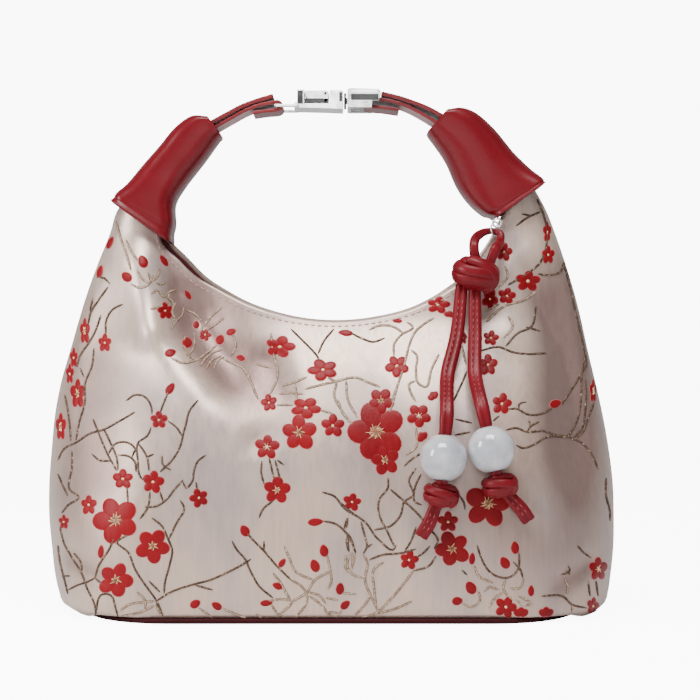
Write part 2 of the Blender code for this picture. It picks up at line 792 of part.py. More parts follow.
def add_knot(name, centre, size, turns, lean, look):
    """Tied lump of cord: an egg shape grooved by its wraps."""
    around, levels = 20, 11
    points = [Vector((0, 0, -1))]
    for i in range(1, levels):
        polar = math.pi * i / levels
        for j in range(around):
            a = 2 * math.pi * j / around
            wrap = math.cos(turns * 2 * polar + a)
            r = 1.0 + 0.085 * wrap * math.sin(polar)
            points.append(
                Vector((
                    r * math.sin(polar) * math.cos(a),
                    r * math.sin(polar) * math.sin(a),
                    -r * math.cos(polar),
                ))
            )
    points.append(Vector((0, 0, 1)))
    tilt = Vector((0, 0, 1)).rotation_difference(Vector(lean).normalized())
    final = []
    for p in points:
        shaped = Vector((p.x * size[0], p.y * size[1], p.z * size[2]))
        final.append(tilt @ shaped + Vector(centre))
    faces = []
    for j in range(around):
        k = (j + 1) % around
        faces.append((0, 1 + k, 1 + j))
        for i in range(levels - 2):
            a, b = 1 + i * around, 1 + (i + 1) * around
            faces.append((a + j, a + k, b + k, b + j))
        last = 1 + (levels - 2) * around
        faces.append((last + j, last + k, len(points) - 1))
    return add_mesh(name, final, faces, look)


def knot_reach(size, lean, direction):
    """Distance from a knot's centre to its outside along a direction."""
    tilt = Vector((0, 0, 1)).rotation_difference(Vector(lean).normalized())
    local = tilt.inverted() @ Vector(direction)
    return 1.085 / math.sqrt(sum((local[i] / size[i]) ** 2 for i in range(3)))


def build_charm(leather, glass, silver):
    w, h = HALF_WIDE, HORN_HEIGHT
    link_at = front_at(0.5805 * w, 0.8750 * h, 0.0027)
    add_ring("charm_link", link_at, LINK_RADIUS, RING_WIRE, 0.0, silver)
    ring_at = link_at + Vector((-0.0008, -0.0008, -0.0025))
    add_ring("charm_ring", ring_at, RING_RADIUS, RING_WIRE, math.radians(50), silver)

    knot_at = front_at(0.500 * w, 0.757 * h, KNOT_SIZE[1] + 0.0024)
    lean = (0.20, 0.0, 1.0)
    add_knot("charm_knot", knot_at, KNOT_SIZE, 1.0, lean, leather)

    thin = LOOP_PINCH * LOOP_CORD / 2
    top = ring_at - Vector((0.0005, 0.0, RING_RADIUS - RING_WIRE - thin - GAP))
    rise = KNOT_SIZE[2] + 0.0008
    left = knot_at + Vector((-0.0004, 0.0, rise))
    right = knot_at + Vector((0.0075, 0.0, rise - 0.0010))
    loop = (
        left,
        left + Vector((-0.0002, 0.0006, 0.0036)),
        top + Vector((-0.0066, -0.0028, -0.0021)),
        top + Vector((-0.0032, -0.0002, -0.0003)),
        top,
        top + Vector((0.0024, -0.0014, -0.0012)),
        top + Vector((0.0022, -0.0034, -0.0042)),
        right + Vector((0.0002, 0.0004, 0.0032)),
        right,
    )
    pinch = (1.0, 1.0, 0.95, 0.75, LOOP_PINCH, 0.70, 0.90, 1.0, 1.0)
    cord("charm_loop", loop, LOOP_CORD, leather, 0.45, pinch)

    r = STRAND_CORD / 2
    for side, x_top, x_mid, x_low, z_low, tail_x, tail_z, knot_x, knot_z in (
        ("left", 0.452, 0.398, 0.377, 0.359, 0.302, 0.191, 0.370, 0.282),
        ("right", 0.497, 0.490, 0.537, 0.377, 0.664, 0.224, 0.565, 0.305),
    ):
        bead = front_at(x_low * w, z_low * h, BEAD_WIDE / 2 + 0.0006)
        end = front_at(knot_x * w, knot_z * h, END_KNOT_SIZE[1] + 0.0004)
        axis = (Vector((x_mid * w, bead.y + 0.004, 0.52 * h)) - bead).normalized()
        start = knot_at + Vector((x_top * w - knot_at.x, -0.0010, -KNOT_SIZE[2] - 0.0012))
        upper = hanging(start, bead, (0.6 * x_top + 0.4 * x_mid) * w, 0.62 * h, r + 0.0012)
        middle = hanging(start, bead, x_mid * w, 0.54 * h, r + 0.0012)
        lower = bead + axis * (BEAD_WIDE * 0.80)
        through = bead - axis * (BEAD_WIDE / 2 - 0.0010)
        cord(
            f"charm_strand_{side}",
            (start, upper, middle, lower, bead + axis * 0.4 * BEAD_WIDE, through),
            STRAND_CORD,
            leather,
        )
        add_bead(f"bead_{side}", bead, axis, glass)
        away = (end - bead).normalized()
        end = bead + away * (BEAD_WIDE / 2 + END_KNOT_SIZE[2] + 0.0004)
        add_knot(f"end_knot_{side}", end, END_KNOT_SIZE, 0.8, -away, leather)
        tail_end = front_at(tail_x * w, tail_z * h, TAIL_CORD / 2 + 0.0010)
        down = (tail_end - end).normalized()
        tail_start = end + down * (knot_reach(END_KNOT_SIZE, -away, down) + GAP)
        bow = (tail_start + tail_end) / 2 + Vector((0.0006, -0.0008, 0.0))
        cord(f"tail_{side}", (tail_start, bow, tail_end), TAIL_CORD, leather)


def main():
    clear_scene()
    brocade = material("champagne brocade", (0.72, 0.60, 0.54), 0.42)
    lining = material("dark red lining", (0.28, 0.03, 0.04), 0.7)
    leather = material("red leather", (0.42, 0.03, 0.04), 0.38)
    silver = material("silver metal", (0.78, 0.78, 0.77), 0.16, 1.0)
    glass = material("milky glass", (0.86, 0.88, 0.90), 0.12)
    build_panels(brocade)
    build_lining(lining)
    build_base(leather)
    build_sleeve("sleeve_left", SLEEVE_LEFT, leather)
    build_sleeve("sleeve_right", SLEEVE_RIGHT, leather)
    build_straps(leather, (left_bar(), right_bar()))
    build_clasp(silver)
    build_charm(leather, glass, silver)


main()
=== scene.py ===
# %% [markdown]
# # A small brocade hobo purse
# The real thing is a soft hand bag of champagne satin with plum blossoms woven and stitched
# on it. Red leather sleeves hold its two horns, short red straps meet in a polished clasp,
# and a knotted leather charm with two glass beads hangs from one corner. This lesson dresses
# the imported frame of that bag: every piece is made at its real size, in metres, in the frame
# that the solids already have.

import math
import random

import bpy
import numpy as np
from mathutils import Matrix, Vector


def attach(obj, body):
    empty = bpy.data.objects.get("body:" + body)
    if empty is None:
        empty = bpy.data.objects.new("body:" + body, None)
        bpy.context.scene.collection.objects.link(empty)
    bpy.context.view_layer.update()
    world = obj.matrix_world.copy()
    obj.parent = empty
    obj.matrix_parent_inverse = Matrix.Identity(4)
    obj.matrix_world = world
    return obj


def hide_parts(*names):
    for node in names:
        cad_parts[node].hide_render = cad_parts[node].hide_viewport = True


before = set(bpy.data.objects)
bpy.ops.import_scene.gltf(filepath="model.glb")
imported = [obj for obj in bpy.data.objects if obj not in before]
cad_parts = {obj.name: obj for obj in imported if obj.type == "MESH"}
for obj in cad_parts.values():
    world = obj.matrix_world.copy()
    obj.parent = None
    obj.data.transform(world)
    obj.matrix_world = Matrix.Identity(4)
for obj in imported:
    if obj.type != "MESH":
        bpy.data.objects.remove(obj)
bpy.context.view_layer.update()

# %% [markdown]
# ## Camera, floor and light
# A bag like this is shown from straight in front, at the middle of its height, with a long lens,
# so that its base and its handle both look level. The camera comes first because every later
# step is judged through it. The floor is plain and pale. The main lights are large and soft, from
# above and from the left, as in a small product studio. A weak one on the right and two weak
# cards in front only lift the shadows and give the metal something to reflect. The paper and
# the air look bright to the camera alone, so they don't wash out the bag's own colours.

# %% Camera
CAMERA_AT = (0.0076, -0.900, 0.1061)
LENS, SENSOR = 112.94, 36.0
# the charts further down are drawn in steps of this view, which is 700 steps wide and high
VIEW_MIDDLE, FOCAL = 350, 2196.0
camera_data = bpy.data.cameras.new("front_camera")
camera_data.sensor_width = SENSOR
camera_data.lens = LENS
camera = bpy.data.objects.new("front_camera", camera_data)
camera.location = CAMERA_AT
camera.rotation_euler = (math.radians(90), 0, 0)
bpy.context.scene.collection.objects.link(camera)
bpy.context.scene.camera = camera
print("camera at", CAMERA_AT)


# %% Floor and lights
SEEN_BRIGHTNESS, AIR_LIGHT = 9.0, 0.24


def plain(name, colour, rough=0.5, **more):
    """A new material with its Principled shader's sockets set."""
    made = bpy.data.materials.new(name)
    made.use_nodes = True
    shader = made.node_tree.nodes["Principled BSDF"]
    shader.inputs["Base Color"].default_value = (*colour, 1.0)
    shader.inputs["Roughness"].default_value = rough
    for key, value in more.items():
        shader.inputs[key.replace("_", " ")].default_value = value
    return made


def area_light(name, place, target, size, power):
    data = bpy.data.lights.new(name, "AREA")
    data.shape = "RECTANGLE"
    data.size, data.size_y = size
    data.energy = power
    lamp = bpy.data.objects.new(name, data)
    lamp.location = place
    aim = Vector(target) - Vector(place)
    lamp.rotation_euler = aim.to_track_quat("-Z", "Y").to_euler()
    bpy.context.scene.collection.objects.link(lamp)
    return lamp


def pale_floor():
    """White paper that looks bright to the eye without throwing much light back."""
    made = plain("pale_floor", (0.90, 0.90, 0.90), 0.8)
    tree = made.node_tree
    shader = tree.nodes["Principled BSDF"]
    shader.inputs["Emission Color"].default_value = (1, 1, 1, 1)
    seen = tree.nodes.new("ShaderNodeLightPath")
    glow = tree.nodes.new("ShaderNodeMath")
    glow.operation = "MULTIPLY"
    glow.inputs[1].default_value = SEEN_BRIGHTNESS
    tree.links.new(seen.outputs["Is Camera Ray"], glow.inputs[0])
    tree.links.new(glow.outputs[0], shader.inputs["Emission Strength"])
    return made


def sweep_floor():
    """A pale sheet that runs back along the floor and curves up into a backdrop."""
    bend, steps = 0.9, 12
    profile = [(-1.6, 0.0), (0.9, 0.0)]
    for k in range(1, steps + 1):
        turn = math.radians(90 * k / steps)
        profile.append((0.9 + bend * math.sin(turn), bend - bend * math.cos(turn)))
    profile.append((1.8, 3.2))
    points = [(x, y, z) for x in (-3.0, 3.0) for y, z in profile]
    count = len(profile)
    faces = [(i, count + i, count + i + 1, i + 1) for i in range(count - 1)]
    mesh = bpy.data.meshes.new("floor")
    mesh.from_pydata(points, [], faces)
    mesh.shade_smooth()
    floor = bpy.data.objects.new("floor", mesh)
    bpy.context.scene.collection.objects.link(floor)
    mesh.materials.append(pale_floor())
    return floor


floor = sweep_floor()
world = bpy.data.worlds.new("studio")
world.use_nodes = True
air = world.node_tree.nodes["Background"]
air.inputs["Color"].default_value = (1.0, 1.0, 1.0, 1.0)
eye = world.node_tree.nodes.new("ShaderNodeLightPath")
level = world.node_tree.nodes.new("ShaderNodeMapRange")
level.inputs["To Min"].default_value = AIR_LIGHT
level.inputs["To Max"].default_value = SEEN_BRIGHTNESS
world.node_tree.links.new(eye.outputs["Is Camera Ray"], level.inputs["Value"])
world.node_tree.links.new(level.outputs["Result"], air.inputs["Strength"])
bpy.context.scene.world = world
area_light("top_light", (-0.05, -0.45, 1.05), (0.0, 0.0, 0.10), (0.6, 0.4), 15.5)
area_light("left_light", (-1.00, -0.55, 0.55), (0.0, 0.0, 0.11), (0.3, 0.5), 11.0)
area_light("right_light", (0.95, -0.60, 0.50), (0.0, 0.0, 0.11), (0.3, 0.6), 0.6)
area_light("front_card", (-0.25, -1.50, 0.30), (0.0, 0.0, 0.12), (1.2, 0.9), 0.7)
area_light("clasp_card", (0.01, -1.20, 0.345), (0.0, 0.0, 0.205), (0.30, 0.14), 0.7)

# %% [markdown]
# ## How the bag is shaped
# A soft bag is easiest to describe as a stack of level outlines: how far out its left and right
# edges are at each height, how deep it is, and how round its corners are. The same short tables
# shape the solids, so each piece made from them lies where the frame has it. A smooth curve is
# drawn through each column, and the cloth's dents and ridges are soft bumps added on top.

# %% Named sizes and tables
BAG_WIDTH, BASE_DEPTH, HORN_HEIGHT = 0.2308, 0.1020, 0.1800
BASE_WIDTH, BASE_CORNER, BASE_THICK, GAP = 0.2000, 0.0360, 0.0022, 0.0003
PANEL_WALL, LINING_WALL, LINING_DROP, LINING_EASE = 0.0016, 0.0009, 0.0016, 0.0009
CORNER_HEM, SLEEVE_WALL = 0.0006, 0.0014
STRAP_WIDTH, COVER_THICK, LOOP_THICK, STRAP_BEND = 0.0196, 0.0017, 0.0014, 0.0017
CLASP_WIDTH, CLASP_Z, CLASP_RISE, PLATE_THICK = 0.0180, 0.2062, 0.0054, 0.0018
HOOK_BAR_X, EYE_BAR_X, LEVER_X, PIN_X, BLOCK_END = -0.0220, 0.0158, -0.0106, -0.0024, 0.0048
HALF_WIDE, HALF_DEEP = BAG_WIDTH / 2, BASE_DEPTH / 2
FLOOR = BASE_THICK + GAP

# height / horn height, left and right edge / half width, depth / half depth, corner / half width
OUTLINE = (
    (0.003, 0.900, 0.935, 0.960, 0.330),
    (0.022, 0.948, 0.968, 0.975, 0.335),
    (0.044, 0.962, 0.979, 0.985, 0.345),
    (0.078, 0.975, 0.987, 0.990, 0.360),
    (0.144, 0.988, 0.998, 0.990, 0.385),
    (0.222, 0.999, 1.000, 0.975, 0.420),
    (0.289, 0.999, 0.997, 0.950, 0.460),
    (0.367, 0.991, 0.983, 0.895, 0.500),
    (0.444, 0.980, 0.962, 0.800, 0.530),
    (0.522, 0.957, 0.935, 0.665, 0.535),
    (0.590, 0.927, 0.910, 0.520, 0.485),
    (0.656, 0.898, 0.888, 0.385, 0.390),
    (0.722, 0.866, 0.862, 0.310, 0.290),
    (0.789, 0.828, 0.830, 0.262, 0.200),
    (0.856, 0.786, 0.794, 0.212, 0.140),
    (0.908, 0.760, 0.762, 0.190, 0.115),
    (0.950, 0.710, 0.727, 0.178, 0.105),
    (1.000, 0.655, 0.676, 0.168, 0.100),
)
# place round the panel, x / half width, height / horn height of its top edge
RIM = (
    (-1.00, -0.694, 0.975),
    (-0.93, -0.648, 0.938),
    (-0.87, -0.612, 0.893),
    (-0.80, -0.597, 0.836),
    (-0.72, -0.535, 0.789),
    (-0.62, -0.475, 0.753),
    (-0.50, -0.392, 0.724),
    (-0.36, -0.288, 0.692),
    (-0.20, -0.158, 0.667),
    (0.00, 0.000, 0.655),
    (0.20, 0.158, 0.663),
    (0.36, 0.288, 0.684),
    (0.50, 0.392, 0.718),
    (0.62, 0.475, 0.756),
    (0.72, 0.522, 0.796),
    (0.80, 0.565, 0.838),
    (0.87, 0.615, 0.905),
    (0.93, 0.645, 0.952),
    (1.00, 0.696, 0.996),
)
# start x, z and end x, z / half width and horn height, reach / half width, lift / half depth
FRONT_FOLDS = (
    (-0.690, 0.800, -0.630, 0.650, 0.080, 0.045),
    (-0.630, 0.650, -0.280, 0.410, 0.105, 0.065),
    (-0.470, 0.635, -0.360, 0.570, 0.110, -0.080),
    (-0.300, 0.520, -0.240, 0.440, 0.110, -0.070),
    (-0.820, 0.620, -0.800, 0.300, 0.120, -0.040),
    (0.675, 0.800, 0.610, 0.640, 0.080, 0.045),
    (0.800, 0.720, 0.800, 0.360, 0.120, -0.060),
    (-0.100, 0.250, 0.150, 0.250, 0.550, 0.030),
)
BACK_FOLDS = (
    (-0.680, 0.780, -0.560, 0.560, 0.090, 0.050),
    (0.680, 0.780, 0.520, 0.520, 0.095, 0.055),
    (-0.420, 0.560, -0.250, 0.420, 0.130, -0.070),
    (0.360, 0.600, 0.240, 0.450, 0.130, -0.060),
    (-0.100, 0.250, 0.150, 0.250, 0.550, 0.030),
)
# narrower creases that only the dressed cloth has, in the same terms
FINE_FOLDS = (
    (-0.700, 0.860, -0.620, 0.640, 0.060, 0.035),
    (-0.610, 0.620, -0.300, 0.430, 0.070, 0.040),
    (-0.490, 0.700, -0.420, 0.570, 0.090, -0.090),
    (-0.360, 0.490, -0.270, 0.400, 0.075, -0.060),
    (-0.600, 0.850, -0.540, 0.730, 0.040, -0.050),
    (-0.200, 0.560, -0.170, 0.500, 0.060, -0.045),
    (0.650, 0.820, 0.765, 0.620, 0.035, -0.035),
    (0.700, 0.620, 0.720, 0.260, 0.080, 0.045),
    (0.830, 0.560, 0.840, 0.260, 0.070, -0.040),
    (-0.880, 0.130, -0.760, 0.090, 0.035, -0.040),
    (0.880, 0.120, 0.780, 0.080, 0.035, -0.040),
    (0.100, 0.480, 0.250, 0.300, 0.120, -0.025),
)
CLOTH_FOLDS = FRONT_FOLDS + FINE_FOLDS
REAR_FOLDS = BACK_FOLDS + tuple((-a, b, -c, d, e, f) for a, b, c, d, e, f in FINE_FOLDS)
# place round the panel, shift / half width and lift / horn height of the back rim
REAR_RIM = (
    (-1.00, 0.000, 0.000),
    (-0.87, 0.010, 0.010),
    (-0.70, 0.014, 0.016),
    (-0.50, 0.004, 0.008),
    (-0.20, 0.000, 0.005),
    (0.20, 0.000, 0.005),
    (0.60, 0.000, 0.006),
    (0.85, 0.000, 0.004),
    (1.00, 0.000, 0.000),
)
print("rim dips to", round(HORN_HEIGHT * 0.655 * 1000), "mm in the middle")


# %% Smooth lookup and the bag's surface
def eased(rows, column, at):
    """Smooth value of one column of a table at a place given by its first column."""
    keys = np.array([row[0] for row in rows])
    values = np.array([row[column] for row in rows])
    slopes = np.gradient(values, keys)
    at = np.clip(at, keys[0], keys[-1])
    i = np.clip(np.searchsorted(keys, at, side="right") - 1, 0, len(keys) - 2)
    span = keys[i + 1] - keys[i]
    t = (at - keys[i]) / span
    first = (1 + 2 * t) * (1 - t) ** 2 * values[i] + t * (1 - t) ** 2 * span * slopes[i]
    return first + t * t * (3 - 2 * t) * values[i + 1] + t * t * (t - 1) * span * slopes[i + 1]


def edge_at(z, side):
    return HALF_WIDE * eased(OUTLINE, 1 if side < 0 else 2, np.asarray(z) / HORN_HEIGHT)


def half_wide_at(x, z):
    return np.where(x < 0, edge_at(z, -1), edge_at(z, 1))


def plain_depth(x, z):
    share = z / HORN_HEIGHT
    deep = HALF_DEEP * eased(OUTLINE, 3, share)
    corner = HALF_WIDE * eased(OUTLINE, 4, share)
    r = np.clip((half_wide_at(x, z) - np.abs(x)) / corner, 0, 1)
    return deep * np.sqrt(np.clip(1 - (1 - r) ** 2, 0, 1))


def fold_lift(x, z, folds):
    total = 0.0
    for x0, z0, x1, z1, reach, lift in folds:
        a = np.array((x0 * HALF_WIDE, z0 * HORN_HEIGHT))
        b = np.array((x1 * HALF_WIDE, z1 * HORN_HEIGHT))
        along = ((x - a[0]) * (b[0] - a[0]) + (z - a[1]) * (b[1] - a[1])) / np.sum((b - a) ** 2)
        along = np.clip(along, 0, 1)
        away = np.hypot(x - a[0] - along * (b[0] - a[0]), z - a[1] - along * (b[1] - a[1]))
        total = total + lift * HALF_DEEP * np.exp(-((away / (reach * HALF_WIDE)) ** 2))
    return total


def cloth_depth(x, z, folds=FRONT_FOLDS):
    """How far the cloth stands from the bag's middle plane."""
    x, z = np.asarray(x, float), np.asarray(z, float)
    fade = np.clip((half_wide_at(x, z) - np.abs(x)) / (0.10 * HALF_WIDE), 0, 1)
    fade = fade * np.clip((z - FLOOR) / (0.12 * HORN_HEIGHT), 0, 1)
    fade = fade * np.clip((0.86 * HORN_HEIGHT - z) / (0.08 * HORN_HEIGHT), 0, 1)
    return plain_depth(x, z) + fold_lift(x, z, folds) * fade


def hem_height(place):
    t = float(np.clip((abs(place) - 0.66) / 0.12, 0, 1))
    return FLOOR + (CORNER_HEM - FLOOR) * t * t * (3 - 2 * t)


def courses(z, side):
    """For each height: places x and the share of the way round from the middle to the seam."""
    count = 90
    bend = np.linspace(0, math.pi / 2, count)[None, :]
    x = side * edge_at(z, side)[:, None] * np.sin(bend)
    y = plain_depth(x, np.repeat(z[:, None], count, axis=1))
    steps = np.hypot(np.diff(x, axis=1), np.diff(y, axis=1))
    along = np.concatenate((np.zeros((len(z), 1)), np.cumsum(steps, axis=1)), axis=1)
    return np.abs(x), along / along[:, -1:]


def panel_grid(columns, rows, folds, shift=None):
    """Outer face of the front panel as rows of points from the base to the rim."""
    heights = np.linspace(0, 1, rows + 1)
    grid = np.zeros((rows + 1, columns + 1, 3))
    for j, place in enumerate(np.linspace(-1, 1, columns + 1)):
        side = -1 if place < 0 else 1
        top_x = HALF_WIDE * float(eased(RIM, 1, place))
        top_z = HORN_HEIGHT * float(eased(RIM, 2, place))
        if shift:
            top_x += HALF_WIDE * float(eased(shift, 1, place))
            top_z += HORN_HEIGHT * float(eased(shift, 2, place))
        if j in (0, columns):
            top_x = side * float(edge_at(top_z, side))
        low = hem_height(place)
        xs, along = courses(np.array([top_z]), side)
        top_along = np.interp(abs(top_x), xs[0], along[0])
        z = low + (top_z - low) * heights
        xs, along = courses(z, side)
        mix = heights**1.15
        where = (1 - mix) * abs(place) + mix * top_along
        x = side * np.array([np.interp(where[i], along[i], xs[i]) for i in range(rows + 1)])
        grid[:, j] = np.stack((x, -np.maximum(cloth_depth(x, z, folds), GAP / 2), z), axis=1)
    return grid


def inward(grid, distance):
    """The grid moved in from its outer face; its side edges stay in the middle plane."""
    across = np.gradient(grid, axis=1)
    up = np.gradient(grid, axis=0)
    across[:, 0, 1] = -abs(across[:, 0, 0]) - abs(across[:, 1, 1]) * 4
    across[:, -1, 1] = abs(across[:, -1, 0]) + abs(across[:, -2, 1]) * 4
    across[:, 0, 0] = 0
    across[:, -1, 0] = 0
    normal = np.cross(across, up)
    normal[:, (0, -1), 1] = 0
    normal /= np.linalg.norm(normal, axis=2, keepdims=True)
    normal[0, :, 2] = 0
    normal[0] /= np.linalg.norm(normal[0], axis=1, keepdims=True)
    moved = grid - normal * distance
    moved[..., 1] = np.minimum(moved[..., 1], -GAP / 2)
    return moved


def turned(grid):
    """The same grid on the back of the bag."""
    back = grid[:, ::-1].copy()
    back[..., 1] *= -1
    return back


print("depth at the middle of the base:", round(float(cloth_depth(0.0, 0.03)) * 1000, 1), "mm")


# %% [markdown]
# ## Helpers that make a piece
# Most pieces here are grids of points that close into a thin wall, or tubes along a line. The
# first helper makes one mesh, smooths its shading, gives it a finish, and says which body of the
# frame it rides on and which solid it stands for. The others work out lines, points and faces.

# %% Mesh helpers
def piece(name, points, faces, looks, slot=None, body="bag", stands_for=(), picks=None):
    """One mesh object with its materials; picks gives a material number for each face."""
    mesh = bpy.data.meshes.new(name)
    mesh.from_pydata(floats(points), [], faces)
    mesh.validate()
    for look in looks if isinstance(looks, (list, tuple)) else [looks]:
        mesh.materials.append(look)
    if picks is not None:
        mesh.polygons.foreach_set("material_index", picks)
    mesh.shade_smooth()
    obj = bpy.data.objects.new(name, mesh)
    bpy.context.scene.collection.objects.link(obj)
    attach(obj, body)
    if stands_for:
        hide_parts(*stands_for)
    return obj


def outward(obj):
    """Turns a closed mesh's faces to point out."""
    mesh = obj.data
    mesh.calc_loop_triangles()
    points = np.array([v.co for v in mesh.vertices])
    faces = np.array([t.vertices for t in mesh.loop_triangles])
    if np.linalg.det(points[faces]).sum() < 0:
        mesh.flip_normals()
    return obj


def grid_faces(rows, columns, start=0, wrap=False, flip=False):
    faces = []
    for i in range(rows - 1):
        for j in range(columns if wrap else columns - 1):
            k = (j + 1) % columns
            a, b = start + i * columns, start + (i + 1) * columns
            face = (a + j, a + k, b + k, b + j)
            faces.append(face[::-1] if flip else face)
    return faces


def wall(name, outer, inner, looks, **more):
    """A closed thin wall between two grids of one size."""
    rows, columns = outer.shape[:2]
    size = rows * columns
    faces = grid_faces(rows, columns) + grid_faces(rows, columns, size, flip=True)
    last = (rows - 1) * columns
    for j in range(columns - 1):
        faces.append((j, size + j, size + j + 1, j + 1))
        faces.append((last + j, last + j + 1, size + last + j + 1, size + last + j))
    for i in range(rows - 1):
        a, b = i * columns, (i + 1) * columns
        faces.append((a, b, size + b, size + a))
        a, b = a + columns - 1, b + columns - 1
        faces.append((a, size + a, size + b, b))
    points = np.concatenate((outer.reshape(-1, 3), inner.reshape(-1, 3)))
    return outward(piece(name, points, faces, looks, **more))


def end_caps(rings, n):
    """The two faces that close a tube of so many rings with n points each."""
    last = (rings - 1) * n
    return [tuple(reversed(range(n))), tuple(range(last, last + n))]


def distances(line):
    """How far along a line each of its points lies."""
    return np.cumsum([0.0, *np.linalg.norm(np.diff(line, axis=0), axis=1)])


def headings(line):
    """Unit steps along a line, one for each of its points."""
    ahead = np.gradient(line, axis=0)
    return ahead / np.linalg.norm(ahead, axis=1, keepdims=True)


def floats(points):
    """Points as plain tuples of numbers."""
    return [tuple(map(float, p)) for p in points]


def smooth_line(points, count):
    """Evenly spaced points on a smooth curve through chosen points."""
    points = np.array(floats(points))
    keys = distances(points)
    rows = [(keys[i], *points[i]) for i in range(len(keys))]
    at = np.linspace(0, keys[-1], count)
    return np.stack([eased(rows, c, at) for c in range(1, points.shape[1] + 1)], axis=1)


def gathered(parts):
    """Joins several (points, faces) into one."""
    points, faces = [], []
    for part_points, part_faces in parts:
        start = len(points)
        points += list(part_points)
        faces += [tuple(start + i for i in face) for face in part_faces]
    return points, faces


print("helpers ready")

# %% [markdown]
# ## Finishes shared by several pieces
# Leather and cloth are never one flat colour. A leather's face is a fine net of small cells with
# wider patches of lighter and darker dye, and satin has long soft slubs that run up the cloth.
# Both effects are needed in more than one material, so each is a small node group with named
# inputs and outputs, and each material puts its own numbers in.


# %% Node group helpers
def node(tree, kind, at=(0, 0), **values):
    made = tree.nodes.new(kind)
    made.location = at
    for key, value in values.items():
        setattr(made, key, value)
    return made


def new_group(name, inputs, outputs):
    """An empty shader node group with float or colour sockets."""
    tree = bpy.data.node_groups.new(name, "ShaderNodeTree")
    for direction, sockets in (("INPUT", inputs), ("OUTPUT", outputs)):
        for label, start in sockets:
            kind = "NodeSocketColor" if isinstance(start, tuple) else "NodeSocketFloat"
            socket = tree.interface.new_socket(name=label, in_out=direction, socket_type=kind)
            if direction == "INPUT":
                socket.default_value = start
    return tree, node(tree, "NodeGroupInput", (-900, 0)), node(tree, "NodeGroupOutput", (900, 0))


def stretched(tree, scale):
    """Object coordinates stretched by three numbers."""
    coords = node(tree, "ShaderNodeTexCoord", (-1300, -200))
    mapping = node(tree, "ShaderNodeMapping", (-1100, -200))
    mapping.inputs["Scale"].default_value = scale
    tree.links.new(coords.outputs["Object"], mapping.inputs["Vector"])
    return mapping.outputs["Vector"]


def noise(tree, vector, scale, detail=3.0, rough=0.5, at=(-700, 0)):
    made = node(tree, "ShaderNodeTexNoise", at)
    made.inputs["Scale"].default_value = scale
    made.inputs["Detail"].default_value = detail
    made.inputs["Roughness"].default_value = rough
    tree.links.new(vector, made.inputs["Vector"])
    return made.outputs["Fac"]


def between(tree, value, low, high, to_low=0.0, to_high=1.0, at=(-400, 0)):
    made = node(tree, "ShaderNodeMapRange", at)
    made.inputs["From Min"].default_value = low
    made.inputs["From Max"].default_value = high
    made.inputs["To Min"].default_value = to_low
    made.inputs["To Max"].default_value = to_high
    tree.links.new(value, made.inputs["Value"])
    return made.outputs["Result"]


def mixed(tree, fac, a, b, at=(0, 0)):
    made = node(tree, "ShaderNodeMix", at, data_type="RGBA")
    for socket, value in ((made.inputs[0], fac), (made.inputs[6], a), (made.inputs[7], b)):
        if isinstance(value, (tuple, float, int)):
            socket.default_value = value
        else:
            tree.links.new(value, socket)
    return made.outputs[2]


def maths(tree, kind, a, b=0.0, at=(0, 0)):
    made = node(tree, "ShaderNodeMath", at, operation=kind)
    for socket, value in zip(made.inputs, (a, b)):
        if isinstance(value, (float, int)):
            socket.default_value = value
        else:
            tree.links.new(value, socket)
    return made.outputs[0]


# %% Satin slub and leather grain
FINISH_OUTPUTS = [("Colour", (0, 0, 0, 1)), ("Height", 0.0), ("Roughness", 0.0)]


def make_satin_group():
    tree, given, out = new_group(
        "satin_slub_and_painted_shade",
        [
            ("Colour", (0.6, 0.5, 0.5, 1.0)), ("Lilac", (0.5, 0.5, 0.6, 1.0)),
            ("Shade", (0.4, 0.3, 0.3, 1.0)), ("Painted light", 1.0), ("Strength", 1.0),
        ],
        FINISH_OUTPUTS,
    )
    slub = noise(tree, stretched(tree, (700, 700, 34)), 1.0, 4.0, 0.6, (-700, 200))
    patches = noise(tree, stretched(tree, (30, 30, 14)), 1.0, 3.0, 0.6, (-700, -100))
    threads = noise(tree, stretched(tree, (1900, 1900, 160)), 1.0, 2.0, 0.5, (-700, -400))
    tone = between(tree, patches, 0.42, 0.64)
    tone = mixed(tree, tone, given.outputs["Colour"], given.outputs["Lilac"])
    # painted light and shade: where the painted light input is low, the colour goes toward the
    # Shade colour
    tone = mixed(tree, given.outputs["Painted light"], given.outputs["Shade"], tone, at=(100, 100))
    streak = between(tree, slub, 0.35, 0.70, 0.93, 1.05, (-400, 250))
    shade = node(tree, "ShaderNodeHueSaturation", (300, 100))
    tree.links.new(tone, shade.inputs["Color"])
    tree.links.new(streak, shade.inputs["Value"])
    tree.links.new(shade.outputs["Color"], out.inputs["Colour"])
    slub_height = maths(tree, "MULTIPLY", slub, 0.6)
    height = maths(tree, "ADD", slub_height, maths(tree, "MULTIPLY", threads, 0.5))
    tree.links.new(maths(tree, "MULTIPLY", height, given.outputs["Strength"]), out.inputs["Height"])
    tree.links.new(between(tree, slub, 0.3, 0.7, 0.34, 0.46, (300, -300)), out.inputs["Roughness"])
    return tree


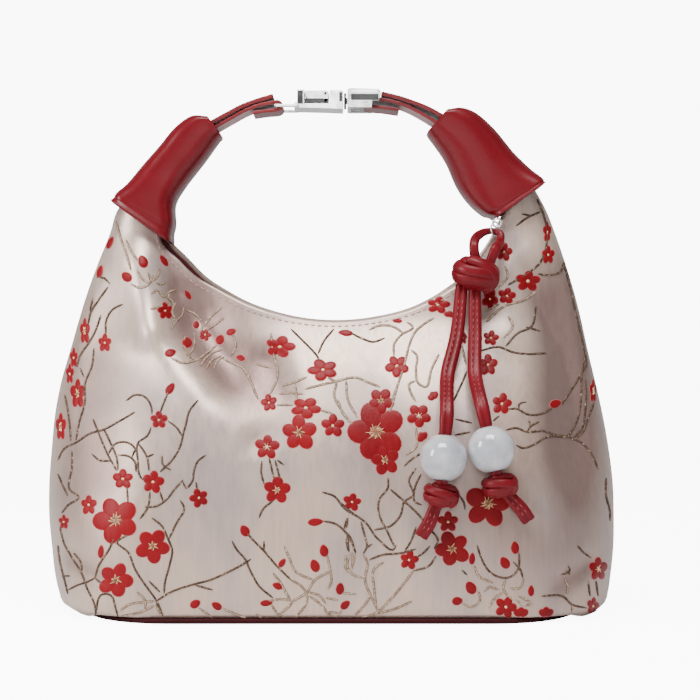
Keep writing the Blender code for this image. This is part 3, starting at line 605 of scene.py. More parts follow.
def make_leather_group():
    tree, given, out = new_group(
        "leather_grain",
        [
            ("Colour", (0.3, 0.02, 0.03, 1.0)), ("Dark", (0.1, 0.0, 0.0, 1.0)),
            ("Grain", 1.0), ("Matt", 0.0),
        ],
        FINISH_OUTPUTS,
    )
    here = stretched(tree, (1, 1, 1))
    cells = node(tree, "ShaderNodeTexVoronoi", (-700, 200), feature="F1")
    cells.inputs["Scale"].default_value = 3200.0
    tree.links.new(here, cells.inputs["Vector"])
    patches = noise(tree, here, 90.0, 4.0, 0.6, (-700, -100))
    fine = noise(tree, here, 1800.0, 3.0, 0.6, (-700, -400))
    tone = between(tree, patches, 0.38, 0.72)
    tone = mixed(tree, tone, given.outputs["Colour"], given.outputs["Dark"])
    tree.links.new(tone, out.inputs["Colour"])
    height = maths(tree, "ADD", maths(tree, "MULTIPLY", cells.outputs["Distance"], 0.8), fine)
    tree.links.new(maths(tree, "MULTIPLY", height, given.outputs["Grain"]), out.inputs["Height"])
    rough = between(tree, fine, 0.3, 0.7, 0.26, 0.36, (300, -300))
    tree.links.new(maths(tree, "ADD", rough, given.outputs["Matt"]), out.inputs["Roughness"])
    return tree


satin_group = make_satin_group()
leather_group = make_leather_group()


def dressed(name, group, values, bump, **sockets):
    """A material whose colour, roughness and bump come from a group."""
    made = plain(name, (0.5, 0.5, 0.5), 0.4, **sockets)
    tree = made.node_tree
    shader = tree.nodes["Principled BSDF"]
    inner = node(tree, "ShaderNodeGroup", (-600, 0), node_tree=group)
    for key, value in values.items():
        inner.inputs[key].default_value = value
    relief = node(tree, "ShaderNodeBump", (-300, -300))
    relief.inputs["Strength"].default_value = bump
    relief.inputs["Distance"].default_value = 0.0002
    tree.links.new(inner.outputs["Colour"], shader.inputs["Base Color"])
    tree.links.new(inner.outputs["Roughness"], shader.inputs["Roughness"])
    tree.links.new(inner.outputs["Height"], relief.inputs["Height"])
    tree.links.new(relief.outputs["Normal"], shader.inputs["Normal"])
    return made


def leather(name, colour, dark, grain, bump, matt=0.0, **sockets):
    """One of the bag's leathers; matt adds to its roughness."""
    values = {"Colour": (*colour, 1), "Dark": (*dark, 1), "Grain": grain, "Matt": matt}
    return dressed(name, leather_group, values, bump, **sockets)


# The Shade colour below is painted shade; a per-point attribute, read just after, says how much of
# it shows, for painted highlights and shade on the cloth.
satin = dressed(
    "champagne_satin", satin_group,
    {"Colour": (0.70, 0.53, 0.425, 1), "Lilac": (0.49, 0.39, 0.365, 1),
     "Shade": (0.25, 0.155, 0.135, 1), "Strength": 1.0},
    0.35, Metallic=0.45, Sheen_Weight=0.15,
)
painted_light_reader = node(satin.node_tree, "ShaderNodeAttribute", (-900, 0), attribute_name="painted_light_and_shade")
satin_nodes = next(n for n in satin.node_tree.nodes if n.type == "GROUP")
satin.node_tree.links.new(painted_light_reader.outputs["Fac"], satin_nodes.inputs["Painted light"])
lining_cloth = dressed(
    "dark_red_lining", satin_group,
    {"Colour": (0.13, 0.010, 0.014, 1), "Lilac": (0.09, 0.008, 0.012, 1), "Strength": 0.8},
    0.3, Specular_IOR_Level=0.3,
)
red_leather = leather(
    "red_leather", (0.14, 0.0038, 0.0090), (0.11, 0.0028, 0.0070), 0.4, 0.10, 0.06,
    Specular_IOR_Level=0.24, Coat_Weight=0.02, Coat_Roughness=0.25,
)
print("finishes:", [m.name for m in bpy.data.materials if m.use_nodes])

# %% [markdown]
# ## The two satin panels
# The body is two panels, front and back, sewn at the sides, with a turned hem at the rim. Each
# could be cloth simulated over a form, but the bag is interlined and keeps its shape, so a dense
# wall made from the tables, with its ridges and hollows, is closer to the real one. Part of the
# satin's light and shade is painted into its colour: a number at every point says how much of the
# light tone shows, less in the hollows of the folds and more on their ridges, with listed spots of
# painted shade and painted highlight on top, and the material reads it as an attribute.

# %% Front and back panel
COLUMNS, ROWS = 150, 96
# painted light: the light tone's share where no fold or spot acts, and how strongly fold ridges
# lighten it and hollows darken it
PLAIN_PAINTED_LIGHT, FOLD_PAINTED_SHADING = 0.66, 9.0
# painted highlights and shade: across, down, half width, half height in steps of the view, change
# of the light tone's share
PAINTED_LIGHT_SPOTS = (
    (552, 430, 46, 120, -0.58), (165, 325, 24, 42, -0.26), (255, 385, 16, 34, -0.34),
    (110, 450, 42, 60, -0.16), (495, 520, 55, 45, -0.34), (330, 520, 130, 70, -0.14),
    (470, 350, 34, 60, -0.10), (590, 560, 30, 40, -0.10), (75, 470, 18, 110, -0.16),
    (400, 345, 60, 30, 0.16), (520, 225, 16, 34, 0.45), (525, 345, 12, 60, 0.12),
    (150, 380, 30, 26, 0.20), (240, 440, 34, 50, 0.10), (130, 300, 10, 30, 0.16),
    (150, 225, 14, 26, -0.22), (330, 345, 36, 14, 0.12), (90, 600, 22, 14, 0.16),
    (350, 470, 180, 90, -0.07), (520, 575, 80, 45, -0.14),
)


def painted_light_at(grid, folds):
    """Painted light and shade: how much light tone each point shows, from folds and spots."""
    lift = fold_lift(grid[..., 0], grid[..., 2], folds) / HALF_DEEP
    away = grid[..., 1] - CAMERA_AT[1]
    across = VIEW_MIDDLE + (grid[..., 0] - CAMERA_AT[0]) * FOCAL / away
    down = VIEW_MIDDLE - (grid[..., 2] - CAMERA_AT[2]) * FOCAL / away
    tone = PLAIN_PAINTED_LIGHT + FOLD_PAINTED_SHADING * lift
    for cx, cy, wide, high, change in PAINTED_LIGHT_SPOTS:
        tone = tone + change * np.exp(-((across - cx) / wide) ** 2 - ((down - cy) / high) ** 2)
    return np.clip(tone, 0.0, 1.0)


def build_panels():
    grids = []
    for name, solid, folds, shift, facing in (
        ("front_cloth", "front_panel", CLOTH_FOLDS, None, lambda g: g),
        ("back_cloth", "back_panel", REAR_FOLDS, REAR_RIM, turned),
    ):
        outer = panel_grid(COLUMNS, ROWS, folds, shift)
        made = wall(
            name, facing(outer), facing(inward(outer, PANEL_WALL)), satin,
            slot="brocade", stands_for=(solid,),
        )
        # painted light and shade, stored on each point for the satin to read
        tone = painted_light_at(outer, folds)
        tone = np.tile((facing(np.repeat(tone[..., None], 3, 2))[..., 0]).ravel(), 2)
        painted_light_layer = made.data.attributes.new("painted_light_and_shade", "FLOAT", "POINT")
        painted_light_layer.data.foreach_set("value", np.abs(tone))
        grids.append(outer)
    return grids


front_grid, back_grid = build_panels()
print("front cloth:", front_grid.shape[0], "rows by", front_grid.shape[1], "points")

# %% [markdown]
# ## Lining
# Inside hangs one cup of dark red cloth, a little smaller than the outside and stopping just
# below the rim. It follows the same outlines, moved in by both thicknesses.

# %% Lining cup


def build_lining():
    loose = np.sin(np.linspace(0, 0.97 * math.pi, ROWS + 1)) ** 0.4 * LINING_EASE
    layers = ([], [])
    for grid, facing in ((front_grid, lambda g: g), (back_grid, turned)):
        grid = grid.copy()
        last = grid[-1] - grid[-2]
        grid[-1] -= last * LINING_DROP / np.linalg.norm(last, axis=1, keepdims=True)
        grid[-2] = (grid[-1] + grid[-3]) / 2
        for layer, extra in zip(layers, (0.0, LINING_WALL)):
            clear = (PANEL_WALL + GAP + loose + extra)[:, None, None]
            moved = inward(grid, clear)[::2, ::2]
            moved[0, :, 2] = FLOOR + extra
            moved[:, (0, -1), 1] = 0.0
            layer.append(facing(moved))
    rings = [np.concatenate((front, back[:, 1:-1]), axis=1) for front, back in layers]
    rows, columns = rings[0].shape[:2]
    size = rows * columns
    points = [*rings[0].reshape(-1, 3), *rings[1].reshape(-1, 3)]
    points += [(0.0, 0.0, FLOOR), (0.0, 0.0, FLOOR + LINING_WALL)]
    faces = grid_faces(rows, columns, wrap=True) + grid_faces(rows, columns, size, True, True)
    top = (rows - 1) * columns
    for j in range(columns):
        k = (j + 1) % columns
        faces.append((top + j, top + k, size + top + k, size + top + j))
        faces += [(2 * size, k, j), (2 * size + 1, size + j, size + k)]
    outward(piece("lining_cup", points, faces, lining_cloth, "lining", stands_for=("lining",)))


build_lining()
print("lining stops", LINING_DROP * 1000, "mm below the rim")

# %% [markdown]
# ## Base
# The bag stands on a stiff board covered with the same red leather. Its outline is a long
# rectangle with quarter-round corners, and leather folded over a board has no sharp edge, so
# the outline is repeated at several levels, drawn in a little at the top and the bottom.

# %% Leather-covered base


def base_outline(less, around):
    """Level outline of the base, drawn in by less; points crowd where its corners bend."""
    flat = 0.55
    wide, deep = BASE_WIDTH / 2 - less, HALF_DEEP - less
    points = []
    for k in range(around):
        turn = 2 * math.pi * (k + 0.5) / around
        c, s = math.cos(turn), math.sin(turn)
        if abs(c) > flat:
            x = wide - BASE_CORNER * (1 - abs(c) ** 1.5)
        else:
            x = (wide - BASE_CORNER * (1 - flat**1.5)) * abs(c) / flat
        r = min(1.0, (wide - x) / BASE_CORNER)
        y = deep * math.sqrt(max(0.0, 1 - (1 - r) ** 2))
        points.append((math.copysign(x, c), math.copysign(y, s)))
    return points


# painted shade: the base leather is much darker than the sleeves' red, for the shadow the base
# stands in
painted_shade_base_leather = leather(
    "base_leather_painted_shade", (0.034, 0.0020, 0.0034), (0.024, 0.0016, 0.0026), 0.4, 0.10, 0.3,
    Specular_IOR_Level=0.12,
)


def build_base():
    around, levels = 168, 9
    soft = BASE_THICK * 0.45
    points = []
    for k in range(levels):
        rise = k / (levels - 1)
        less = soft * (1 - math.sqrt(max(0.0, 1 - abs(2 * rise - 1) ** 2.4)))
        points += [(x, y, BASE_THICK * rise) for x, y in base_outline(less, around)]
    faces = grid_faces(levels, around, wrap=True)
    faces.append(tuple(reversed(range(around))))
    faces.append(tuple(range((levels - 1) * around, levels * around)))
    outward(piece(
        "base_leather", points, faces, painted_shade_base_leather, "leather", stands_for=("base_panel",),
    ))


build_base()
print("base", BASE_WIDTH * 1000, "by", BASE_DEPTH * 1000, "mm")

# %% [markdown]
# ## Leather sleeves
# Each horn of the cloth runs up into a leather sleeve, wide and flared where it grips the cloth
# and narrow where the strap comes out. A sleeve is one skin lofted through a short table of
# flattened ovals. The flared end gets a rolled lip, because the leather is turned in there.

# %% Sleeve tables and loft
# outer edge x, z and inner edge x, z / half width and horn height, depth / half depth, squareness
SLEEVE_LEFT = (
    (-0.7760, 0.9240, -0.5670, 0.8290, 0.306, 6.5),
    (-0.7570, 0.9440, -0.5550, 0.8740, 0.286, 5.6),
    (-0.7210, 0.9660, -0.5530, 0.9210, 0.272, 3.8),
    (-0.6670, 1.0090, -0.5140, 0.9630, 0.254, 3.2),
    (-0.6070, 1.0530, -0.4500, 1.0160, 0.250, 3.2),
    (-0.5560, 1.0920, -0.4000, 1.0610, 0.247, 3.4),
    (-0.4960, 1.1190, -0.3880, 1.0700, 0.244, 3.8),
    (-0.4370, 1.1180, -0.3890, 1.0770, 0.246, 4.6),
)
SLEEVE_RIGHT = (
    (0.7540, 0.9660, 0.5830, 0.8870, 0.306, 6.5),
    (0.7450, 0.9770, 0.5370, 0.8960, 0.290, 5.6),
    (0.7020, 1.0010, 0.4840, 0.9240, 0.274, 3.8),
    (0.6440, 1.0390, 0.4420, 0.9620, 0.260, 3.0),
    (0.5840, 1.0860, 0.4060, 1.0140, 0.256, 3.0),
    (0.5190, 1.1240, 0.3680, 1.0520, 0.250, 3.4),
    (0.4640, 1.1380, 0.3390, 1.0790, 0.245, 3.8),
    (0.4110, 1.1340, 0.3500, 1.0900, 0.246, 4.6),
)


def sleeve_skins(rows, sections=64, around=80):
    """Outer and inner skin of a sleeve, and the centre line of its sections."""
    keyed = [(k / (len(rows) - 1), *row) for k, row in enumerate(rows)]
    at = np.linspace(0, 1, sections) ** 1.15
    x0, z0, x1, z1, deep, square = [eased(keyed, c, at) for c in range(1, 7)]
    turn = 2 * math.pi * np.arange(around) / around
    outer, inner = np.zeros((2, sections, around, 3))
    for i in range(sections):
        a = np.array((x0[i] * HALF_WIDE, z0[i] * HORN_HEIGHT))
        b = np.array((x1[i] * HALF_WIDE, z1[i] * HORN_HEIGHT))
        centre, half = (a + b) / 2, (a - b) / 2
        reach = np.linalg.norm(half)
        c = np.copysign(np.abs(np.cos(turn)) ** (2 / square[i]), np.cos(turn))
        s = np.copysign(np.abs(np.sin(turn)) ** (2 / square[i]), np.sin(turn))
        lip = 0.0004 * math.exp(-((i - 2.0) / 1.6) ** 2) - (0.0011, 0.0004, 0.0)[min(i, 2)]
        crease = 0.00030 * math.exp(-((i - 7.0) / 2.0) ** 2)
        for skin, less in ((outer, crease - lip), (inner, SLEEVE_WALL - 0.0004 * (i < 2))):
            along = (half / reach)[None, :] * ((reach - less) * c)[:, None]
            skin[i, :, 0] = centre[0] + along[:, 0]
            skin[i, :, 1] = (deep[i] * HALF_DEEP - less) * s
            skin[i, :, 2] = centre[1] + along[:, 1]
    return outer, inner


def build_sleeve(side, rows):
    outer, inner = sleeve_skins(rows)
    sections, around = outer.shape[:2]
    size = sections * around
    faces = grid_faces(sections, around, wrap=True)
    faces += grid_faces(sections, around, size, True, True)
    last = size - around
    for j in range(around):
        k = (j + 1) % around
        faces.append((j, size + j, size + k, k))
        faces.append((last + j, last + k, size + last + k, size + last + j))
    points = np.concatenate((outer.reshape(-1, 3), inner.reshape(-1, 3)))
    name = f"sleeve_{side}"
    made = piece(f"{name}_leather", points, faces, sleeve_leather, "leather", stands_for=(name,))
    outward(made)
    return outer


sleeve_leather = leather(
    "sleeve_leather", (0.145, 0.0035, 0.0085), (0.125, 0.0028, 0.0070), 0.3, 0.06,
    Specular_IOR_Level=0.26, Coat_Weight=0.04, Coat_Roughness=0.2,
)
left_sleeve = build_sleeve("left", SLEEVE_LEFT)
build_sleeve("right", SLEEVE_RIGHT)
sleeve_length = float(np.linalg.norm(left_sleeve[0, 0] - left_sleeve[-1, 0]))
print("sleeve length", round(sleeve_length * 1000), "mm")

# %% [markdown]
# ## Straps
# From each sleeve come two strips of leather. The upper one covers the join, and the lower one
# goes over a bar of the clasp and back under itself. Seen edge-on, a strip shows a grain top, a
# dyed edge and a paler flesh side, so one swept section carries three finishes.

# %% Strap courses
MOUTH_LEFT, MOUTH_RIGHT = (-0.4130, 1.0975), (0.3805, 1.1120)
ROOTS = {
    "left_cover": ((-0.4600, 1.0860), (-0.4150, 1.1045)),
    "left_loop": ((-0.4500, 1.0740), (-0.4100, 1.0905)),
    "right_cover": ((0.4350, 1.0950), (0.3900, 1.1165)),
    "right_loop": ((0.4200, 1.0765), (0.3760, 1.0985)),
}
# share of the way from a sleeve's mouth to the clasp bar, and lift off that line / strap stack
ROUTES = {
    "left_cover": ((0.245, 0.85), (0.470, 1.24), (0.715, 1.40), (0.990, 1.40)),
    "left_loop": ((0.260, 0.12), (0.530, 0.61), (0.760, 0.74)),
    "right_cover": ((0.230, 0.99), (0.400, 1.22), (0.590, 1.40), (0.875, 1.44)),
    "right_loop": ((0.250, 0.01), (0.465, 0.53), (0.700, 0.75)),
}
RETURNS = {"left": (0.620, 0.01), "right": (0.580, -0.13)}
BARS = {"left": (HOOK_BAR_X, CLASP_Z - 0.0010), "right": (EYE_BAR_X, CLASP_Z + 0.0005)}


def strap_points(side, rows):
    mouth = MOUTH_LEFT if side == "left" else MOUTH_RIGHT
    start = np.array((mouth[0] * HALF_WIDE, mouth[1] * HORN_HEIGHT))
    way = np.array(BARS[side]) - start
    up = np.array((-way[1], way[0])) * math.copysign(1.0, way[0]) / np.linalg.norm(way)
    return [tuple(start + way * s + up * lift * (COVER_THICK + LOOP_THICK)) for s, lift in rows]


def strap_course(side, kind):
    """Course of a strip in x and z, from inside its sleeve."""
    key = f"{side}_{kind}"
    line = [(x * HALF_WIDE, z * HORN_HEIGHT) for x, z in ROOTS[key]]
    line += strap_points(side, ROUTES[key])
    if kind == "cover":
        return smooth_line(line, 60)
    bar, toward = BARS[side], 1.0 if side == "left" else -1.0
    over = len(line)
    for k in range(9):
        angle = math.pi / 2 - k * math.pi / 8
        x = bar[0] + toward * STRAP_BEND * math.cos(angle)
        line.append((x, bar[1] + STRAP_BEND * math.sin(angle)))
    end = strap_points(side, (RETURNS[side],))[0]
    last = line[-1]
    line.append((0.6 * last[0] + 0.4 * end[0], 0.7 * last[1] + 0.3 * end[1]))
    line.append(end)
    return np.concatenate((smooth_line(line[: over + 1], 50)[:-1], smooth_line(line[over:], 50)))


def strip_section(thick, wide, round_off=0.00045, steps=4, across=14):
    """Closed section of a strip: place across, height off the course, and its finish."""
    half, up = wide / 2, thick / 2
    section = []
    for sign, start in ((1, 0), (-1, 1)):
        for k in range(across + 1):
            y = sign * (-half + round_off + (wide - 2 * round_off) * k / across)
            section.append((y, sign * up, start * 2))
        for k in range(1, steps):
            a = math.pi / 2 * k / steps
            section.append((
                sign * (half - round_off + round_off * math.sin(a)),
                sign * (up - round_off + round_off * math.cos(a)), 1,
            ))
        for k in range(steps):
            a = math.pi / 2 * k / steps
            section.append((
                sign * (half - round_off + round_off * math.cos(a)),
                sign * (-up + round_off - round_off * math.sin(a)), 1,
            ))
    return section


flesh_side = leather(
    "leather_flesh_side", (0.42, 0.22, 0.22), (0.30, 0.13, 0.13), 0.8, 0.4, Specular_IOR_Level=0.2,
)
edge_dye = leather("dyed_leather_edge", (0.22, 0.008, 0.012), (0.13, 0.006, 0.010), 0.3, 0.15)


def build_strap(side, kind, thick):
    course = strap_course(side, kind)
    ahead = headings(course)
    normal = np.stack((-ahead[:, 1], ahead[:, 0]), axis=1)
    if side == "right":
        normal = -normal
    section = strip_section(thick, STRAP_WIDTH)
    n = len(section)
    points = []
    for (x, z), (nx, nz) in zip(course, normal):
        points += [(x + nx * h, y, z + nz * h) for y, h, _ in section]
    faces = grid_faces(len(course), n, wrap=True)
    picks = [section[j][2] for _ in range(len(course) - 1) for j in range(n)]
    faces += end_caps(len(course), n)
    picks += [1, 1]
    solid = f"strap_{side}_{kind}"
    outward(piece(
        f"{solid}_strip", points, faces, [red_leather, edge_dye, flesh_side],
        "leather", stands_for=(solid,), picks=picks,
    ))


for strap_side in ("left", "right"):
    build_strap(strap_side, "cover", COVER_THICK)
    build_strap(strap_side, "loop", LOOP_THICK)
print("strap strips:", len(ROUTES))

# %% [markdown]
# ## Clasp
# A polished metal clasp joins the straps: a hook body with a flip-up lever on the left, and a
# swivelling eye on the right. Cast and polished parts have small rounded edges that catch the
# light, so each profile is carried along its depth and then given a narrow bevel. The lever
# rides on its own body, because it turns on its pin.

# %% Clasp metal
def make_silver_group():
    tree, given, out = new_group(
        "polish_marks",
        [("Colour", (0.8, 0.8, 0.8, 1.0)), ("Worn", (0.5, 0.5, 0.5, 1.0)), ("Marks", 1.0)],
        FINISH_OUTPUTS,
    )
    brushed = noise(tree, stretched(tree, (260, 2600, 2600)), 1.0, 3.0, 0.6, (-700, 200))
    cloudy = noise(tree, stretched(tree, (1, 1, 1)), 240.0, 3.0, 0.5, (-700, -100))
    tone = between(tree, cloudy, 0.45, 0.75)
    tone = mixed(tree, tone, given.outputs["Colour"], given.outputs["Worn"])
    tree.links.new(tone, out.inputs["Colour"])
    tree.links.new(maths(tree, "MULTIPLY", brushed, given.outputs["Marks"]), out.inputs["Height"])
    rough = between(tree, cloudy, 0.3, 0.7, 0.10, 0.24, (300, -300))
    tree.links.new(rough, out.inputs["Roughness"])
    return tree


silver_group = make_silver_group()


def silver(name, colour, worn, marks, bump, **sockets):
    values = {"Colour": (*colour, 1), "Worn": (*worn, 1), "Marks": marks}
    return dressed(name, silver_group, values, bump, **sockets)


bright_silver = silver(
    "bright_silver", (0.95, 0.95, 0.94), (0.84, 0.84, 0.84), 0.3, 0.05, Metallic=0.75,
)
# painted shade: a near-black, dull copy of the silver for the strips, the pin and the disc that
# stand for shade in the clasp's gaps
painted_shade_metal = silver(
    "painted_shade_silver", (0.055, 0.055, 0.055), (0.030, 0.030, 0.032), 0.5, 0.08,
    Metallic=0.3, Specular_IOR_Level=0.1,
)
grey_silver = silver(
    "grey_silver", (0.62, 0.62, 0.62), (0.48, 0.48, 0.48), 0.4, 0.06, Metallic=0.85,
)
print("metals:", bright_silver.name, painted_shade_metal.name, grey_silver.name)


# %% Clasp parts
def extruded(profile, y0, y1):
    n = len(profile)
    points = [(x, y0, z) for x, z in profile] + [(x, y1, z) for x, z in profile]
    faces = [tuple(range(n)), tuple(reversed(range(n, 2 * n)))]
    for i in range(n):
        k = (i + 1) % n
        faces.append((k, i, n + i, n + k))
    return points, faces


def block(x0, x1, y0, y1, z0, z1):
    return extruded(((x0, z0), (x1, z0), (x1, z1), (x0, z1)), y0, y1)


def both_sides(x0, x1, near, far, z0, z1):
    """Two equal blocks, at the clasp's front and back edge."""
    return [block(x0, x1, *sorted((s * near, s * far)), z0, z1) for s in (-1, 1)]


def round_bar(centre, radius, half, axis, sides=32):
    points = []
    for end in (-half, half):
        for k in range(sides):
            angle = 2 * math.pi * k / sides
            u, v = radius * math.cos(angle), radius * math.sin(angle)
            if axis == "x":
                points.append((centre[0] + end, centre[1] + u, centre[2] + v))
            else:
                points.append((centre[0] + v, centre[1] + end, centre[2] + u))
    faces = [tuple(reversed(range(sides))), tuple(range(sides, 2 * sides))]
    for i in range(sides):
        k = (i + 1) % sides
        faces.append((i, k, sides + k, sides + i))
    return points, faces


def metal(name, shapes, looks=None, body="bag", stands_for=(), bevel=0.00022):
    points, faces = gathered(shapes)
    made = piece(name, points, faces, looks or bright_silver, "silver", body, stands_for)
    outward(made)
    soften = made.modifiers.new("soft_edges", "BEVEL")
    soften.width = bevel
    soften.segments = 3
    soften.limit_method = "ANGLE"
    soften.angle_limit = math.radians(35)
    soften.harden_normals = True
    return made


def build_clasp():
    floor, top = CLASP_Z - PLATE_THICK, CLASP_Z + CLASP_RISE
    half, post = CLASP_WIDTH / 2, LEVER_X - 0.0033
    pocket, knuckle = CLASP_Z + 0.0003, 0.0014
    lever_end = PIN_X + knuckle
    pin_z = top - 0.0013
    rod = 0.0011
    body = extruded((
        (post - 0.0012, floor), (PIN_X, floor - 0.0003), (BLOCK_END, floor - 0.0006),
        (BLOCK_END, top - 0.0004), (BLOCK_END - 0.0006, top), (lever_end + GAP, top),
        (lever_end + GAP, CLASP_Z), (LEVER_X - GAP, CLASP_Z), (LEVER_X - GAP, top + 0.0003),
        (post, top + 0.0003), (post, CLASP_Z + 0.0008), (post - 0.0012, CLASP_Z + 0.0002),
    ), -half, half)
    metal("hook_body", [body], stands_for=("clasp_hook",))
    reach = STRAP_WIDTH / 2 + GAP
    bar_z = BARS["left"][1]
    low, high = bar_z - rod / 2, bar_z + rod / 2
    arms = [block(post - 0.0004, post + 0.0010, -reach - rod, reach + rod, floor + 0.0002, high)]
    arms += both_sides(HOOK_BAR_X - 0.0011, post + 0.0004, reach, reach + rod, low, high)
    metal("hook_arms", arms, grey_silver, stands_for=("clasp_hook",), bevel=0.0003)
    outside = reach + rod + 0.0002
    cheeks = both_sides(
        HOOK_BAR_X - 0.0004, post + 0.0004, reach, outside, floor + 0.0012, low - 0.0002,
    )
    metal("hook_cheeks", cheeks, stands_for=("clasp_hook",), bevel=0.0004)
    metal(
        "hook_bar", [round_bar((HOOK_BAR_X, 0.0, bar_z), 0.0007, reach + rod / 2, "y")],
        stands_for=("clasp_hook",),
    )
    thin, edge = 0.0002, half - 0.0006
    # dark strips by the post, under the lever's edge and at the block's end: painted shade in the
    # gaps between parts
    shades = both_sides(
        LEVER_X - 0.0031, LEVER_X - 0.0009, half - thin, half + thin,
        CLASP_Z - 0.0002, top - 0.0002,
    )
    shades += both_sides(
        LEVER_X - 0.0002, lever_end, edge - thin, edge + thin, CLASP_Z + 0.00005, CLASP_Z + 0.0021,
    )
    shades += both_sides(
        BLOCK_END - 0.0016, BLOCK_END - 0.0003, half - thin, half + thin,
        CLASP_Z + 0.0008, top - 0.0008,
    )
    metal("hook_side_shades", shades, painted_shade_metal, stands_for=("clasp_hook",), bevel=0.0001)
    # the pin is painted dark, as shade under the lever
    metal(
        "lever_pin", [round_bar((PIN_X, 0.0, pin_z), 0.00055, half + 0.0001, "y")], painted_shade_metal,
        stands_for=("clasp_hook",), bevel=0.0001,
    )

    under = pocket + 0.0016
    lever = extruded((
        (LEVER_X + 0.0009, under), (PIN_X - 0.0010, under), (PIN_X - 0.0005, pocket),
        (PIN_X + 0.0006, pocket), (PIN_X + 0.0013, pocket + 0.0018), (PIN_X + knuckle, pin_z),
        (PIN_X + 0.0010, pin_z + 0.0008), (PIN_X + 0.0004, top - 0.0001), (LEVER_X, top - 0.0001),
        (LEVER_X, under + 0.0014),
    ), -half + 0.0004, half - 0.0004)
    metal("lever_plate", [lever], body="lever", stands_for=("clasp_lever",), bevel=0.0003)

    bar_x, bar_z = BARS["right"]
    start = BLOCK_END + 0.0018
    plates, frames = [], []
    for side in (-1, 1):
        y0, y1 = sorted((side * reach, side * outside))
        plates.append(extruded((
            (start, floor - 0.0002), (EYE_BAR_X + 0.0007, floor - 0.0002),
            (EYE_BAR_X + 0.0010, CLASP_Z + 0.0008), (EYE_BAR_X + 0.0036, CLASP_Z + 0.0008),
            (EYE_BAR_X + 0.0044, top - 0.0012), (EYE_BAR_X + 0.0034, top + 0.0002),
            (start + 0.0012, top + 0.0006), (start, top + 0.0002),
        ), y0, y1))
        y0, y1 = sorted((side * (outside - 0.0002), side * (outside + 0.0001)))
        left, right = start + 0.0012, EYE_BAR_X - 0.0006
        low, high = floor + 0.0010, CLASP_Z + 0.0010
        frames.append(block(left, right, y0, y1, low, low + 0.0004))
        frames.append(block(left, right, y0, y1, high, high + 0.0004))
        frames.append(block(left, left + 0.0004, y0, y1, low, high))
        frames.append(block(right, right + 0.0004, y0, y1, low, high))
    metal("eye_side_plates", plates, grey_silver, stands_for=("clasp_eye",), bevel=0.0003)
    metal("eye_frames", frames, stands_for=("clasp_eye",), bevel=0.00008)
    # dark strips on the eye's side plates: painted shade in its openings
    shades = both_sides(
        start + 0.0014, EYE_BAR_X + 0.0034, outside - 0.00025, outside + 0.00025,
        CLASP_Z + 0.0011, top - 0.0018,
    )
    shades += both_sides(
        start + 0.0040, EYE_BAR_X - 0.0012, outside - thin, outside + thin,
        floor + 0.0016, CLASP_Z - 0.0001,
    )
    metal("eye_side_shades", shades, painted_shade_metal, stands_for=("clasp_eye",), bevel=0.0001)
    strips = both_sides(
        start + 0.0014, EYE_BAR_X + 0.0032, outside - 0.0003, outside + 0.0003,
        top - 0.0014, top - 0.0001,
    )
    metal("eye_top_strips", strips, stands_for=("clasp_eye",), bevel=0.0001)
    inner = outside - 0.0001
    end_wall = block(start - 0.0001, start + 0.0014, -inner, inner, floor, top)
    metal("eye_end_wall", [end_wall], stands_for=("clasp_eye",))
    metal(
        "eye_bar", [round_bar((bar_x, 0.0, bar_z), 0.0007, reach + rod / 2, "y")],
        stands_for=("clasp_eye",),
    )
    # the swivel disc is painted dark, as shade in the gap between the hook and the eye
    disc_z = (floor + top) / 2
    swivel = [
        round_bar((BLOCK_END + 0.0008, 0.0, disc_z), 0.0034, 0.0005, "x", 40),
        round_bar((BLOCK_END + 0.0013, 0.0, disc_z), 0.0013, 0.0008, "x", 24),
    ]
    metal("swivel_disc", swivel, painted_shade_metal, stands_for=("clasp_eye",))


build_clasp()
print("clasp", round((EYE_BAR_X - HOOK_BAR_X) * 1000, 1), "mm between its bars")

# %% [markdown]
# ## Charm: rings, cords and knots
# A strip of red leather, folded in half along its length, is pulled through a small ring, tied
# in a fat knot, and its two ends hang down through glass beads and are knotted again. Each hanging
# end is a cord with a real length, so its tube follows one centre line from the main knot to its
# cut tip. The folded strip shows a groove with stitches where its edges meet.

# %% Charm sizes and places
LOOP_CORD, STRAND_CORD, TAIL_CORD = 0.0040, 0.0052, 0.0046
BEAD_WIDE, BEAD_HOLE = 0.0184, 0.0060
RING_RADIUS, LINK_RADIUS, RING_WIRE, LOOP_PINCH = 0.0028, 0.0017, 0.0004, 0.62
KNOT_SIZE, END_KNOT_SIZE = (0.0088, 0.0066, 0.0068), (0.0064, 0.0054, 0.0047)


def front_at(x, z, clear=0.0):
    return Vector((x, -float(cloth_depth(x, z)) - clear, z))


def ring(name, centre, radius, wire, turn, solid):
    around, section = 48, 16
    points = []
    for j in range(around):
        a = 2 * math.pi * j / around
        for k in range(section):
            b = 2 * math.pi * k / section
            r = radius + wire * math.cos(b)
            flat = Vector((r * math.cos(a), wire * math.sin(b), r * math.sin(a)))
            spun = Matrix.Rotation(turn, 3, "Z") @ flat
            points.append(spun + centre)
    faces = grid_faces(around, section, wrap=True)
    last = (around - 1) * section
    for k in range(section):
        m = (k + 1) % section
        faces.append((last + k, last + m, m, k))
    outward(piece(name, points, faces, bright_silver, "silver", stands_for=(solid,)))


link_at = front_at(0.5805 * HALF_WIDE, 0.8750 * HORN_HEIGHT, 0.0027)
ring_at = link_at + Vector((-0.0008, -0.0008, -0.0025))
ring("charm_link_wire", link_at, LINK_RADIUS, RING_WIRE, 0.0, "charm_link")
ring("charm_ring_wire", ring_at, RING_RADIUS, RING_WIRE, math.radians(50), "charm_ring")
knot_at = front_at(0.500 * HALF_WIDE, 0.757 * HORN_HEIGHT, KNOT_SIZE[1] + 0.0024)
print("charm ring at", [round(v, 4) for v in ring_at])

